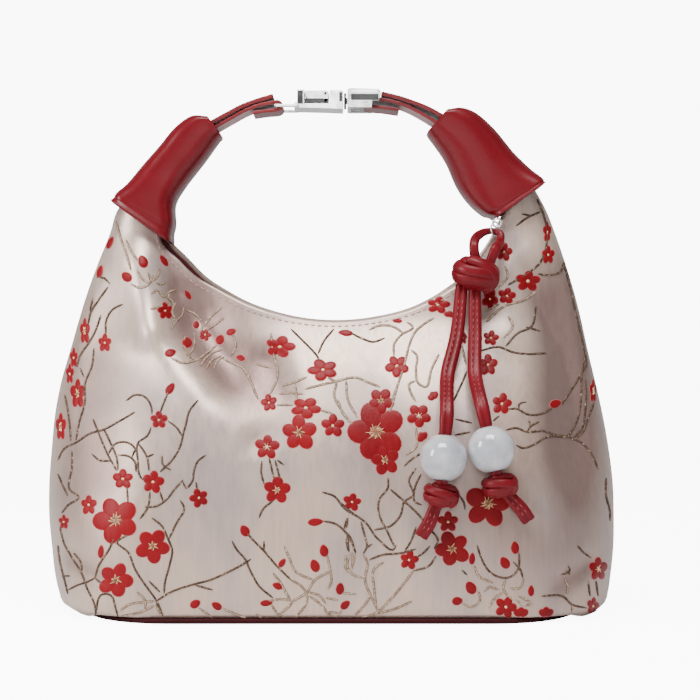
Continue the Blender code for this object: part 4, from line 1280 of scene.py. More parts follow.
# %% Folded leather section and cord tubes
charm_leather = leather(
    "charm_leather", (0.165, 0.0042, 0.0095), (0.125, 0.0032, 0.0070), 0.5, 0.10, 0.08,
    Specular_IOR_Level=0.20, Coat_Weight=0.03, Coat_Roughness=0.25,
)
thread = dressed(
    "red_thread", satin_group,
    {"Colour": (0.50, 0.10, 0.11, 1), "Lilac": (0.42, 0.07, 0.08, 1), "Strength": 0.5}, 0.2,
)


def folded_section(sides=28, groove=0.22):
    """Flattened oval with a groove on its front, where the folded strip's edges meet."""
    section = []
    for k in range(sides):
        a = 2 * math.pi * k / sides
        c, s = math.cos(a), math.sin(a)
        square = 2 / 2.6
        x = math.copysign(abs(c) ** square, c)
        y = math.copysign(abs(s) ** square, s)
        if y < 0:
            y += groove * math.exp(-((x / 0.16) ** 2))
        section.append((x, y))
    return section


def flat_tube(name, line, scales, front, looks, groove=0.22, solid=()):
    """A swept strip whose grooved face looks to the front; scales are half width, half height."""
    ahead = headings(line)
    front = np.array(front, float)
    back = np.array([-(front - a * np.dot(front, a)) for a in ahead])
    back /= np.linalg.norm(back, axis=1, keepdims=True)
    side = np.cross(back, ahead)
    section = folded_section(groove=groove)
    points = []
    for p, s, b, (wide, high) in zip(line, side, back, scales):
        points += [p + s * x * wide + b * y * high for x, y in section]
    n = len(section)
    faces = grid_faces(len(line), n, wrap=True)
    faces += end_caps(len(line), n)
    made = piece(name, points, faces, looks, "leather", stands_for=solid)
    return outward(made)


def build_loop():
    thin = LOOP_PINCH * LOOP_CORD / 2
    top = ring_at - Vector((0.0005, 0.0, RING_RADIUS - RING_WIRE - thin - GAP))
    rise = KNOT_SIZE[2] + 0.0008
    left = knot_at + Vector((-0.0004, 0.0, rise))
    right = knot_at + Vector((0.0075, 0.0, rise - 0.0010))
    route = (
        left + Vector((0.0006, 0.0008, -0.0030)),
        left + Vector((-0.0002, 0.0006, 0.0036)),
        top + Vector((-0.0066, -0.0028, -0.0021)),
        top + Vector((-0.0032, -0.0002, -0.0003)),
        top,
        top + Vector((0.0024, -0.0014, -0.0012)),
        top + Vector((0.0022, -0.0034, -0.0042)),
        right + Vector((0.0002, 0.0004, 0.0032)),
        right + Vector((-0.0022, 0.0008, -0.0034)),
    )
    pinch = (1.0, 1.0, 0.95, 0.75, LOOP_PINCH, 0.70, 0.90, 1.0, 1.0)
    count = 64
    line = smooth_line(route, count)
    steps = distances(np.array(floats(route)))
    share = np.interp(np.linspace(0, steps[-1], count), steps, pinch)
    scales = [(LOOP_CORD / 2 * s, LOOP_CORD / 2 * s * 0.92) for s in share]
    length = float(np.linalg.norm(np.diff(line, axis=0), axis=1).sum())
    made = flat_tube(
        "charm_loop_cord", line, scales, (0, -1, 0), charm_leather, 0.10, ("charm_loop",),
    )
    return made, line, length


loop_piece, loop_line, loop_length = build_loop()
print("loop length", round(loop_length * 1000, 1), "mm")


# %% Stitches
def stitch(a, b, lift, wide=0.00028):
    """A short thread from a to b, standing a little off the leather along lift."""
    a, b, lift = Vector(a), Vector(b), Vector(lift).normalized()
    ahead = (b - a).normalized()
    side = ahead.cross(lift).normalized()
    points, shares = [], ((0.0, 0.25, -0.5), (0.2, 0.9, 0.35), (0.8, 0.9, 0.35), (1.0, 0.25, -0.5))
    for along, fat, rise in shares:
        middle = a.lerp(b, along) + lift * wide * rise
        for k in range(6):
            turn = math.pi * k / 3
            points.append(middle + (side * math.cos(turn) + lift * math.sin(turn)) * wide * fat)
    return points, grid_faces(4, 6, wrap=True) + end_caps(4, 6)


def stitch_row(line, lifts, length, space, wide=0.00028):
    """Stitches of one length laid along a line of points."""
    line, lifts = np.asarray(line, float), np.asarray(lifts, float)
    along = distances(line)
    made, at = [], space
    while at + length < along[-1] - space:
        start, end, lift = (
            [float(np.interp(place, along, values[:, c])) for c in range(3)]
            for place, values in ((at, line), (at + length, line), (at + length / 2, lifts))
        )
        made.append(stitch(start, end, lift, wide))
        at += length + space
    return made


# %% Knots
def wrap_band(centre, size, marks, wide, high, lean, swell=1.0):
    """A flat strip laid on an egg shape; marks are degrees round from the front and degrees up."""
    tilt = Vector((0, 0, 1)).rotation_difference(Vector(lean).normalized()).to_matrix()
    marks = smooth_line([(a, b, 0.0) for a, b in marks], 30)
    line, outs = [], []
    for a, b, _ in marks:
        a, b = math.radians(a), math.radians(b)
        unit = Vector((math.cos(b) * math.sin(a), -math.cos(b) * math.cos(a), math.sin(b)))
        spot = Vector((unit.x * size[0], unit.y * size[1], unit.z * size[2])) * swell
        line.append(tilt @ spot + Vector(centre))
        out = Vector((unit.x / size[0], unit.y / size[1], unit.z / size[2])).normalized()
        outs.append(tilt @ out)
    line, outs = np.array(floats(line)), np.array(floats(outs))
    side = np.cross(outs, headings(line))
    side /= np.linalg.norm(side, axis=1, keepdims=True)
    section = folded_section(20, 0.0)
    points = []
    for p, s, o in zip(line, side, outs):
        points += [p + s * x * wide - o * y * high for x, y in section]
    n = len(section)
    return points, grid_faces(len(line), n, wrap=True) + end_caps(len(line), n)


def egg(centre, size, lean, share):
    tilt = Vector((0, 0, 1)).rotation_difference(Vector(lean).normalized()).to_matrix()
    around, levels = 28, 16
    points = [tilt @ Vector((0, 0, -size[2] * share)) + Vector(centre)]
    for i in range(1, levels):
        polar = math.pi * i / levels
        for j in range(around):
            a = 2 * math.pi * j / around
            spot = Vector((
                size[0] * math.sin(polar) * math.cos(a),
                size[1] * math.sin(polar) * math.sin(a),
                -size[2] * math.cos(polar),
            ))
            points.append(tilt @ (spot * share) + Vector(centre))
    points.append(tilt @ Vector((0, 0, size[2] * share)) + Vector(centre))
    faces = grid_faces(levels - 1, around, 1, True)
    last = 1 + (levels - 2) * around
    for j in range(around):
        k = (j + 1) % around
        faces += [(0, 1 + k, 1 + j), (last + j, last + k, len(points) - 1)]
    return points, faces


MAIN_WRAPS = (
    (((-130, -4), (-80, -20), (-25, -30), (30, -24), (70, -2)), 0.0026, 0.0019, 0.96),
    (((-125, 24), (-75, 16), (-25, 6), (25, 8), (70, 20), (110, 34)), 0.0024, 0.0019, 0.98),
    (((-40, 50), (-5, 44), (28, 32), (54, 8), (64, -24), (58, -56)), 0.0023, 0.0018, 1.06),
    (((-110, 50), (-55, 46), (0, 50), (50, 44), (100, 36)), 0.0021, 0.0017, 0.97),
    (((-50, -66), (0, -58), (50, -50), (110, -30)), 0.0021, 0.0016, 0.90),
    (((70, 60), (84, 20), (88, -20), (80, -56)), 0.0024, 0.0018, 0.95),
)
END_WRAPS = (
    (((-120, -6), (-60, -16), (0, -18), (60, -4), (110, 16)), 0.0018, 0.0014, 0.96),
    (((-95, 34), (-40, 28), (15, 12), (55, -16), (72, -52)), 0.0018, 0.0014, 1.06),
    (((-75, 64), (-10, 58), (60, 46), (115, 20)), 0.0016, 0.0012, 0.97),
    (((-110, -48), (-50, -54), (10, -50), (70, -42)), 0.0016, 0.0012, 0.92),
)


def tied_knot(name, centre, size, lean, wraps, solid):
    shapes = [egg(centre, size, lean, 0.80)]
    for marks, wide, high, swell in wraps:
        shapes.append(wrap_band(centre, size, marks, wide, high, lean, swell * 0.93))
    points, faces = gathered(shapes)
    return piece(name, points, faces, charm_leather, "leather", stands_for=(solid,))


main_knot = tied_knot("main_knot", knot_at, KNOT_SIZE, (0.20, 0.0, 1.0), MAIN_WRAPS, "charm_knot")
print("main knot:", len(main_knot.data.polygons), "faces")


# %% Beads, strands and tails
def knot_reach(size, lean, direction):
    tilt = Vector((0, 0, 1)).rotation_difference(Vector(lean).normalized())
    local = tilt.inverted() @ Vector(direction)
    return 1.085 / math.sqrt(sum((local[i] / size[i]) ** 2 for i in range(3)))


def hanging(top, foot, x, z, clear):
    share = (top.z - z) / (top.z - foot.z)
    straight = top.y + (foot.y - top.y) * share
    point = front_at(x, z, clear)
    point.y = min(point.y, 0.75 * straight + 0.25 * point.y)
    return point


def glass_bead(name, centre, axis, solid):
    around, steps, radius, hole = 56, 30, BEAD_WIDE / 2, BEAD_HOLE / 2
    reach = math.acos(hole / radius)
    turn = Vector((0, 0, 1)).rotation_difference(Vector(axis).normalized()).to_matrix()
    points = []
    for k in range(steps + 1):
        angle = -reach + 2 * reach * k / steps
        for j in range(around):
            a = 2 * math.pi * j / around
            facet = 1.0 - 0.010 * abs(math.sin(4 * a + 1.2 * k)) * math.cos(angle)
            r = radius * math.cos(angle) * facet
            spot = Vector((r * math.cos(a), r * math.sin(a), radius * math.sin(angle)))
            points.append(turn @ spot + centre)
    faces = grid_faces(steps + 1, around, wrap=True)
    last = steps * around
    faces += [(last + j, last + (j + 1) % around, (j + 1) % around, j) for j in range(around)]
    return outward(piece(name, points, faces, milky_glass, "glass", stands_for=(solid,)))


def make_milky_glass():
    made = plain(
        "milky_glass", (0.8, 0.83, 0.86), 0.10,
        Coat_Weight=0.6, Coat_Roughness=0.04, Subsurface_Weight=0.35, Subsurface_Scale=0.004,
    )
    tree = made.node_tree
    shader = tree.nodes["Principled BSDF"]
    cloud = noise(tree, stretched(tree, (1, 1, 1)), 170.0, 3.0, 0.5)
    tone = between(tree, cloud, 0.35, 0.65)
    tone = mixed(tree, tone, (0.60, 0.61, 0.63, 1), (0.42, 0.43, 0.47, 1))
    tree.links.new(tone, shader.inputs["Base Color"])
    tree.links.new(between(tree, cloud, 0.3, 0.7, 0.06, 0.16), shader.inputs["Roughness"])
    return made


milky_glass = make_milky_glass()
# side, x / half width of the top and the middle, then x / half width and z / horn height of the
# bead, of the tail's end and of the end knot
STRANDS = (
    ("left", 0.452, 0.398, 0.377, 0.359, 0.302, 0.191, 0.370, 0.282),
    ("right", 0.497, 0.490, 0.537, 0.377, 0.664, 0.224, 0.565, 0.305),
)


def build_strand(side, x_top, x_mid, x_low, z_low, tail_x, tail_z, knot_x, knot_z):
    w, h, r = HALF_WIDE, HORN_HEIGHT, STRAND_CORD / 2
    bead = front_at(x_low * w, z_low * h, BEAD_WIDE / 2 + 0.0006)
    end = front_at(knot_x * w, knot_z * h, END_KNOT_SIZE[1] + 0.0004)
    axis = (Vector((x_mid * w, bead.y + 0.004, 0.52 * h)) - bead).normalized()
    start = knot_at + Vector((x_top * w - knot_at.x, -0.0010, -KNOT_SIZE[2] - 0.0012))
    upper = hanging(start, bead, (0.6 * x_top + 0.4 * x_mid) * w, 0.62 * h, r + 0.0012)
    middle = hanging(start, bead, x_mid * w, 0.54 * h, r + 0.0012)
    away = (end - bead).normalized()
    end = bead + away * (BEAD_WIDE / 2 + END_KNOT_SIZE[2] + 0.0004)
    tail_end = front_at(tail_x * w, tail_z * h, TAIL_CORD / 2 + 0.0010)
    down = (tail_end - end).normalized()
    tail_start = end + down * (knot_reach(END_KNOT_SIZE, -away, down) + GAP)
    bow = (tail_start + tail_end) / 2 + Vector((0.0006, -0.0008, 0.0))
    route = [
        start + Vector((0.0, 0.0008, 0.0036)), upper, middle,
        bead + axis * (BEAD_WIDE * 0.80), bead + axis * 0.4 * BEAD_WIDE,
        bead - axis * (BEAD_WIDE / 2 - 0.0010), end, tail_start, bow, tail_end,
    ]
    line = smooth_line(route, 170)
    along = distances(line)
    route = np.array(floats(route))
    keys = np.array([along[np.argmin(np.linalg.norm(line - p, axis=1))] for p in route])
    wide = (2.45, 2.75, 2.85, 2.75, 2.30, 2.20, 2.30, 2.50, 2.75, 2.70)
    high = (2.10, 1.90, 1.90, 1.95, 1.90, 1.90, 1.90, 1.70, 1.55, 1.45)
    scales = np.stack([np.interp(along, keys, half) for half in (wide, high)], axis=1) / 1000
    name = f"charm_strand_{side}"
    strand = flat_tube(
        f"{name}_leather", line, scales, (0, -1, 0), charm_leather, 0.42, (name, f"tail_{side}"),
    )
    ahead, toward = headings(line), np.array((0.0, -1.0, 0.0))
    front = toward - ahead * (ahead @ toward)[:, None]
    front /= np.linalg.norm(front, axis=1, keepdims=True)
    seam, sides = line + front * (scales[:, 1:] * 0.80), np.cross(ahead, front)
    above_bead = (along > keys[1] * 0.25) & (along < keys[3])
    on_tail = (along > keys[7] + 0.001) & (along < keys[9])
    rows = []
    for part in (above_bead, on_tail):
        for shift in (-0.30, 0.30):
            path = (seam + sides * scales[:, :1] * shift + front * scales[:, 1:] * 0.12)[part]
            rows += stitch_row(path, front[part], 0.0016, 0.0011, 0.00013)
    stitches = piece(f"{name}_stitches", *gathered(rows), thread, "leather")
    glass = glass_bead(f"glass_bead_{side}", bead, axis, f"bead_{side}")
    lump = tied_knot(
        f"end_knot_{side}_wraps", end, END_KNOT_SIZE, -away, END_WRAPS, f"end_knot_{side}",
    )
    return float(along[-1])


strand_lengths = [build_strand(*row) for row in STRANDS]
print("strands", [round(v * 1000, 1) for v in strand_lengths], "mm")

# %% [markdown]
# ## Plum blossoms and branches
# The cloth is a jacquard with raised, embroidered plum blossom in a traditional manner: red
# petals with a paler thread round them, gold stamens, red buds, and thin branches in brown and
# gold thread. A colour mask could print them, but thread stands up and catches light, so every
# petal and branch is a small raised patch laid on the cloth. The charts below give their places
# in steps of about 0.4 mm from the top left corner of the view. Brocade branches aren't one flat
# colour either: their threads go over and under the ground, so small dark and pale flecks break
# them up.

# %% Places on the cloth


def on_cloth(across, down, lift=0.0, folds=FRONT_FOLDS, side=1):
    """Points on the cloth at chart places, moved off it along its normal; side -1 is the back,
    seen through the bag."""
    across, down = np.asarray(across, float), np.asarray(down, float)
    lowest, first_guess, rounds = 0.0012, 0.045, 9
    deep = np.full(across.shape, first_guess)
    for _ in range(rounds):
        x = CAMERA_AT[0] + (across - VIEW_MIDDLE) * (-CAMERA_AT[1] - deep) / FOCAL
        z = CAMERA_AT[2] + (VIEW_MIDDLE - down) * (-CAMERA_AT[1] - deep) / FOCAL
        z = np.clip(z, lowest, None)
        limit = half_wide_at(side * x, z) * (0.9965 if side > 0 else 0.985)
        x = np.clip(x, -limit, limit)
        deep = 0.4 * deep + 0.6 * cloth_depth(side * x, z, folds)
    step = 0.0003

    def depth_at(dx, dz):
        return cloth_depth(side * (x + dx), z + dz, folds)

    deep = depth_at(0, 0)
    slope_x = (depth_at(step, 0) - depth_at(-step, 0)) / (2 * step)
    slope_z = (depth_at(0, step) - depth_at(0, -step)) / (2 * step)
    steepest = 4
    slope_x = np.clip(np.nan_to_num(slope_x), -steepest, steepest)
    slope_z = np.clip(np.nan_to_num(slope_z), -steepest, steepest)
    normal = np.stack((-slope_x, -np.ones_like(x), -slope_z), axis=-1)
    normal /= np.linalg.norm(normal, axis=-1, keepdims=True)
    points = np.stack((x, -deep, z), axis=-1)
    return points + normal * np.asarray(lift)[..., None]


print("chart middle lies at", [round(float(v), 4) for v in on_cloth(350, 450)])

# %% Blossom chart
# across, down, size, turn in degrees, petals (5 open, 3 from the side), squeeze of the width
BLOSSOMS = (
    (116, 520, 47, 40, 5, 1.0), (153, 546, 35, 60, 5, 1.0), (116, 580, 35, 68, 5, 1.0),
    (123, 479, 20, 90, 5, 1.0), (153, 482, 23, 80, 5, 0.95), (159, 420, 17, 90, 5, 1.0),
    (199, 498, 19, 110, 5, 1.0), (89, 505, 20, 90, 5, 0.8), (64, 522, 15, 90, 5, 0.7),
    (61, 427, 28, 90, 5, 0.38), (78, 394, 30, 90, 5, 0.5), (267, 447, 25, 85, 5, 1.0),
    (299, 433, 36, 20, 5, 1.0), (333, 426, 23, 90, 5, 1.0), (269, 403, 17, 100, 5, 0.95),
    (306, 408, 22, 60, 5, 1.4), (323, 370, 22, 40, 5, 1.4), (280, 347, 22, 75, 5, 1.35),
    (277, 490, 27, 85, 5, 1.0), (352, 502, 18, 80, 5, 1.0), (165, 311, 17, 95, 5, 0.95),
    (205, 335, 12, 70, 5, 1.0), (105, 343, 18, 90, 5, 0.75), (85, 331, 26, 90, 5, 0.4),
    (74, 358, 20, 90, 5, 0.4), (70, 374, 20, 90, 5, 0.4), (397, 366, 22, 50, 5, 1.05),
    (381, 401, 26, 57, 5, 1.0), (376, 432, 58, 35, 5, 1.0), (385, 460, 32, 30, 5, 0.9),
    (419, 416, 24, 56, 5, 1.0), (423, 439, 18, 120, 3, 0.9), (502, 404, 21, 80, 5, 0.95),
    (448, 522, 21, 90, 5, 1.0), (452, 549, 35, 40, 5, 1.0), (409, 560, 19, 80, 5, 1.0),
    (488, 504, 46, 8, 5, 1.0), (598, 569, 24, 90, 5, 0.78), (593, 391, 24, 90, 5, 0.3),
    (506, 607, 22, 70, 5, 1.0), (521, 615, 19, 90, 3, 1.0), (546, 615, 19, 90, 3, 1.0),
    (593, 606, 17, 80, 5, 0.7), (434, 398, 16, 120, 3, 0.9), (504, 252, 18, 80, 5, 0.9),
    (548, 255, 18, 90, 5, 0.72), (547, 232, 20, 90, 5, 0.42), (528, 281, 21, 85, 5, 1.2),
    (490, 299, 22, 60, 5, 0.75), (507, 296, 17, 80, 5, 1.0), (438, 305, 17, 80, 5, 1.35),
    (449, 316, 12, 80, 3, 1.2), (491, 338, 15, 80, 5, 1.0), (488, 365, 21, 90, 5, 0.9),
    (463, 338, 13, 90, 5, 0.6), (397, 322, 8, 80, 3, 1.4),
)
# across, down, lean in degrees, half length, half width
BUDS = (
    (170, 389, 55, 6.0, 3.6), (101, 552, 85, 6.0, 3.0), (195, 604, 30, 5.0, 4.0),
    (217, 606, 150, 5.0, 3.6), (245, 531, 120, 5.5, 4.5), (282, 563, 55, 4.5, 2.8),
    (324, 551, 100, 5.6, 4.3), (315, 566, 110, 6.0, 4.6), (278, 586, 160, 4.8, 3.4),
    (266, 603, 5, 5.6, 3.0), (340, 589, 85, 5.4, 4.0), (345, 605, 40, 5.0, 3.6),
    (315, 522, 5, 7.0, 3.8), (346, 333, 175, 6.5, 3.0), (241, 358, 170, 4.2, 3.0),
    (143, 262, 110, 5.8, 4.6), (127, 277, 140, 5.2, 4.4), (164, 261, 125, 6.0, 2.8),
    (188, 295, 120, 5.0, 2.4), (187, 343, 90, 5.0, 5.0), (196, 325, 80, 3.4, 3.0),
    (220, 340, 60, 4.8, 4.2), (231, 332, 20, 4.6, 3.2), (170, 353, 15, 5.0, 3.8),
    (110, 243, 65, 6.0, 2.8), (100, 272, 75, 6.0, 3.0), (555, 404, 20, 5.5, 4.0),
    (515, 548, 95, 5.8, 4.0), (505, 563, 120, 5.8, 4.6), (472, 559, 85, 5.4, 3.0),
    (471, 588, 120, 6.2, 5.0), (457, 601, 10, 4.8, 4.0), (531, 591, 90, 5.0, 3.0),
)
print("blossoms:", len(BLOSSOMS), "buds:", len(BUDS))

# %% Branch chart
BROWN_BRANCHES = (
    ((160, 413), (163, 405), (168, 393)),
    ((151, 427), (148, 435), (138, 443), (138, 461), (140, 476), (143, 480)),
    ((138, 443), (147, 457), (149, 471)), ((147, 457), (154, 454)),
    ((135, 412), (118, 422), (105, 429), (89, 434), (77, 442), (64, 449), (58, 460)),
    ((93, 419), (99, 434), (108, 455), (117, 471)),
    ((104, 429), (111, 444), (117, 459), (118, 470)),
    ((108, 455), (115, 444), (125, 442), (134, 447), (136, 452)), ((136, 448), (132, 457)),
    ((118, 455), (128, 456), (135, 462), (136, 472)), ((92, 454), (99, 460), (111, 461)),
    ((198, 400), (189, 412), (186, 424), (183, 435), (181, 444), (173, 459), (160, 472)),
    ((168, 421), (177, 428), (182, 436)), ((162, 456), (163, 465), (171, 470)),
    ((206, 455), (198, 461), (194, 471), (192, 482), (186, 488), (183, 482)),
    ((183, 480), (174, 490), (166, 500), (157, 506), (145, 507)), ((160, 492), (163, 501)),
    ((150, 492), (148, 507), (140, 519)), ((196, 482), (197, 490)), ((127, 487), (128, 502)),
    ((152, 518), (162, 526), (168, 539), (172, 549), (169, 567), (165, 582), (164, 594)),
    ((180, 500), (184, 507), (176, 524), (169, 539)),
    ((115, 537), (107, 553), (99, 565), (95, 578)),
    ((128, 535), (117, 542), (128, 552), (135, 569), (146, 586), (156, 600), (163, 616)),
    ((95, 578), (87, 582), (78, 585), (68, 590)), ((95, 578), (102, 584)),
    ((60, 527), (64, 543), (71, 556), (82, 574), (87, 588), (95, 606), (96, 616)),
    ((74, 553), (81, 563), (82, 574)), ((58, 545), (60, 562), (65, 582), (68, 594)),
    ((62, 576), (70, 576)), ((58, 474), (64, 488), (68, 496)),
    ((72, 451), (72, 467), (70, 490), (79, 497), (67, 506), (62, 513)),
    ((95, 616), (103, 594), (108, 594), (118, 616)),
    ((232, 541), (237, 550), (245, 559), (250, 570), (259, 586), (273, 598)),
    ((156, 601), (171, 592), (191, 585), (210, 580), (224, 574), (238, 567), (251, 559)),
    ((149, 581), (160, 592)), ((195, 585), (213, 590)), ((262, 461), (261, 471), (264, 484)),
    ((269, 458), (274, 479)), ((275, 460), (280, 479)), ((277, 460), (284, 465)),
    ((273, 501), (263, 509), (259, 518)), ((322, 492), (334, 496), (344, 508), (360, 518)),
    ((323, 521), (336, 524), (346, 533), (352, 543), (356, 553)), ((347, 518), (344, 529)),
    ((346, 539), (348, 551)), ((245, 531), (255, 542), (264, 551), (275, 564), (291, 580)),
    ((264, 541), (264, 551)), ((108, 287), (98, 301), (91, 312), (88, 325)),
    ((97, 277), (104, 278), (110, 284)), ((123, 304), (112, 310), (106, 322), (106, 334)),
    ((101, 315), (95, 332), (88, 344), (80, 356), (77, 367)), ((93, 298), (90, 311)),
    ((94, 348), (92, 366), (85, 384), (85, 402), (80, 420), (76, 440)), ((80, 368), (84, 377)),
    ((65, 395), (68, 411), (71, 441)), ((126, 401), (135, 395), (145, 397), (151, 406), (152, 414)),
    ((291, 329), (300, 338), (309, 347), (317, 356), (320, 362)),
    ((334, 329), (324, 341), (318, 354)), ((351, 333), (363, 339), (373, 342), (385, 338)),
    ((453, 402), (462, 383), (467, 371)),
    ((480, 351), (499, 347), (512, 352), (527, 354), (547, 353)),
    ((506, 346), (518, 333), (531, 327), (536, 306)), ((526, 327), (540, 331)),
    ((516, 226), (527, 218), (540, 212)), ((522, 214), (532, 216)),
    ((537, 199), (543, 213), (547, 232), (545, 251), (539, 264), (528, 273), (508, 285)),
    ((538, 274), (550, 275), (560, 272), (564, 262)),
    ((564, 264), (569, 283), (576, 314), (583, 343), (587, 364)),
    ((586, 352), (582, 371), (581, 395), (579, 414), (571, 432), (566, 438)),
    ((587, 364), (577, 381), (562, 404)),
    ((585, 380), (586, 395), (585, 412), (582, 428), (573, 438)),
    ((594, 403), (588, 418), (583, 432), (577, 438)), ((455, 419), (472, 423)),
    ((455, 435), (470, 432)), ((508, 409), (518, 409), (526, 414), (541, 414), (552, 408)),
    ((526, 402), (519, 404), (519, 409)),
    ((506, 430), (516, 428), (527, 432), (543, 431), (556, 435), (568, 437), (583, 444),
     (592, 455), (598, 469)),
    ((527, 432), (531, 426), (539, 422)), ((531, 426), (529, 421)),
    ((567, 437), (547, 437), (533, 445), (522, 448), (516, 445)), ((493, 421), (499, 416)),
    ((606, 478), (606, 495), (610, 513), (610, 521)),
    ((388, 478), (388, 487), (379, 500), (379, 514), (386, 529), (395, 548)),
    ((390, 489), (405, 502), (416, 512), (430, 529), (438, 541), (434, 549)),
    ((416, 468), (409, 480), (413, 495), (404, 502), (401, 514), (392, 525), (374, 530)),
    ((421, 474), (415, 487), (415, 502), (422, 505)), ((416, 527), (411, 541), (404, 552)),
    ((369, 560), (382, 555), (401, 553), (416, 549)), ((430, 546), (422, 554), (417, 557)),
    ((436, 556), (430, 565), (413, 571)),
    ((340, 502), (351, 512), (365, 522), (378, 539), (394, 549), (396, 545)),
    ((348, 518), (346, 529)), ((340, 527), (350, 537), (355, 552)), ((347, 533), (349, 552)),
    ((361, 522), (365, 537), (367, 546), (363, 554)), ((372, 544), (366, 548)),
    ((477, 545), (482, 560), (489, 571), (499, 577), (510, 577), (518, 569), (519, 552)),
    ((513, 562), (520, 569), (523, 579)), ((577, 545), (583, 552), (591, 558)),
    ((588, 581), (590, 596)), ((596, 581), (598, 596)),
    ((541, 596), (564, 597), (571, 604), (586, 608)), ((568, 565), (570, 571), (560, 575)),
    ((566, 570), (570, 575)), ((459, 495), (464, 503), (465, 510)), ((462, 570), (467, 575)),
    ((445, 445), (432, 452), (418, 455), (404, 466)), ((433, 447), (441, 430)),
)
GOLD_BRANCHES = (
    ((284, 546), (289, 557), (295, 571), (313, 580)),
    ((327, 555), (330, 569), (331, 583), (328, 589)),
    ((330, 571), (314, 581), (307, 592), (291, 602)),
    ((273, 573), (280, 582), (288, 596), (291, 601)), ((283, 588), (289, 598)),
    ((269, 601), (281, 599), (293, 601)), ((271, 604), (277, 613), (284, 617)),
    ((293, 602), (285, 610), (279, 614)), ((307, 604), (301, 611), (296, 617)),
    ((291, 580), (301, 586), (307, 596), (307, 604)), ((307, 592), (320, 596), (326, 604)),
    ((309, 596), (318, 602), (322, 606)), ((324, 606), (326, 612), (334, 617)),
    ((342, 610), (338, 616)), ((326, 612), (340, 613)), ((199, 608), (213, 618)),
    ((221, 608), (238, 615), (246, 618)), ((256, 614), (262, 618)), ((326, 598), (338, 600)),
    ((342, 593), (356, 594)), ((346, 555), (346, 569), (351, 574)), ((353, 554), (352, 569)),
    ((119, 612), (128, 605), (144, 602), (154, 601)), ((137, 592), (145, 600), (145, 610)),
    ((122, 616), (138, 613), (154, 606)), ((156, 604), (160, 614)),
    ((338, 400), (342, 412), (352, 424)),
    ((328, 378), (336, 382), (334, 394), (344, 414), (350, 423)),
    ((346, 381), (348, 400), (357, 417)),
    ((305, 389), (334, 382), (358, 378), (367, 382), (380, 387)),
    ((282, 386), (295, 382), (307, 377)), ((295, 384), (297, 400)),
    ((279, 394), (287, 393), (303, 394)), ((277, 405), (293, 405)), ((320, 410), (334, 414)),
    ((116, 221), (121, 239), (127, 256), (131, 270)),
    ((131, 284), (140, 288), (149, 284), (153, 275)), ((137, 270), (141, 277), (149, 284)),
    ((148, 272), (152, 281), (158, 275), (160, 268)), ((156, 283), (162, 284), (166, 281)),
    ((151, 294), (158, 290), (163, 297), (171, 291), (176, 290)),
    ((170, 290), (168, 298), (174, 303), (171, 311)),
    ((176, 302), (172, 312), (175, 322), (171, 329)), ((184, 305), (182, 315), (175, 322)),
    ((186, 310), (195, 314), (203, 325), (200, 333)),
    ((203, 327), (210, 318), (217, 311), (222, 307)), ((207, 330), (216, 324), (224, 318)),
    ((185, 335), (184, 346), (190, 357), (200, 360)), ((194, 333), (194, 345), (190, 355)),
    ((171, 358), (183, 363), (196, 360), (208, 352), (217, 345)),
    ((233, 335), (236, 345), (231, 356)), ((200, 366), (206, 358), (214, 352), (222, 350)),
    ((206, 369), (212, 360), (221, 356)), ((214, 370), (217, 361), (224, 357)),
    ((222, 358), (232, 363), (243, 368), (250, 377)),
    ((243, 368), (250, 380), (255, 392), (258, 399)),
    ((271, 333), (272, 346), (275, 360), (278, 372), (275, 384), (270, 394)),
    ((256, 364), (271, 368)), ((168, 302), (160, 307), (150, 309)),
    ((126, 240), (133, 254), (139, 262)),
    ((407, 322), (413, 327), (401, 335), (394, 345), (394, 356)),
    ((434, 318), (424, 324), (416, 331), (409, 346), (406, 358), (397, 387), (391, 403)),
    ((411, 350), (416, 354), (416, 371), (418, 383), (425, 387), (432, 368), (439, 354)),
    ((415, 381), (409, 384), (410, 391), (416, 402)),
    ((369, 330), (378, 326), (394, 327), (403, 333)),
    ((537, 291), (524, 300), (505, 306), (486, 322)), ((484, 312), (499, 304)),
    ((505, 266), (508, 276), (499, 287)), ((462, 346), (466, 364)),
    ((399, 380), (396, 391), (390, 412)), ((406, 455), (416, 447), (416, 428)),
    ((352, 552), (347, 564), (352, 574), (363, 578)), ((355, 553), (353, 566)),
    ((363, 554), (367, 562), (365, 581), (371, 596), (378, 611)),
    ((384, 562), (374, 569), (374, 587), (376, 606)),
    ((413, 571), (401, 587), (388, 602), (374, 614), (362, 617)),
    ((412, 601), (397, 608), (376, 614)), ((371, 596), (361, 609), (353, 617)),
    ((474, 565), (478, 575), (493, 583)), ((524, 579), (520, 588), (510, 588)),
    ((506, 579), (503, 588), (512, 600)), ((462, 603), (472, 607), (480, 600), (478, 590)),
    ((484, 592), (489, 587), (499, 590)), ((489, 608), (493, 600), (503, 592)),
    ((516, 600), (524, 605), (533, 604)), ((518, 596), (531, 602)),
    ((564, 579), (568, 587), (566, 596)), ((572, 604), (572, 612)),
    ((508, 316), (513, 326), (504, 338)),
)
print("branches:", len(BROWN_BRANCHES), "brown,", len(GOLD_BRANCHES), "gold")


# %% Petals, hearts, buds and branches as raised thread
def thread_look(name, colour, deep, bump=0.5, **more):
    values = {"Colour": (*colour, 1), "Lilac": (*deep, 1), "Strength": 1.4}
    more.setdefault("Specular_IOR_Level", 0.15)
    return dressed(name, satin_group, values, bump, **more)


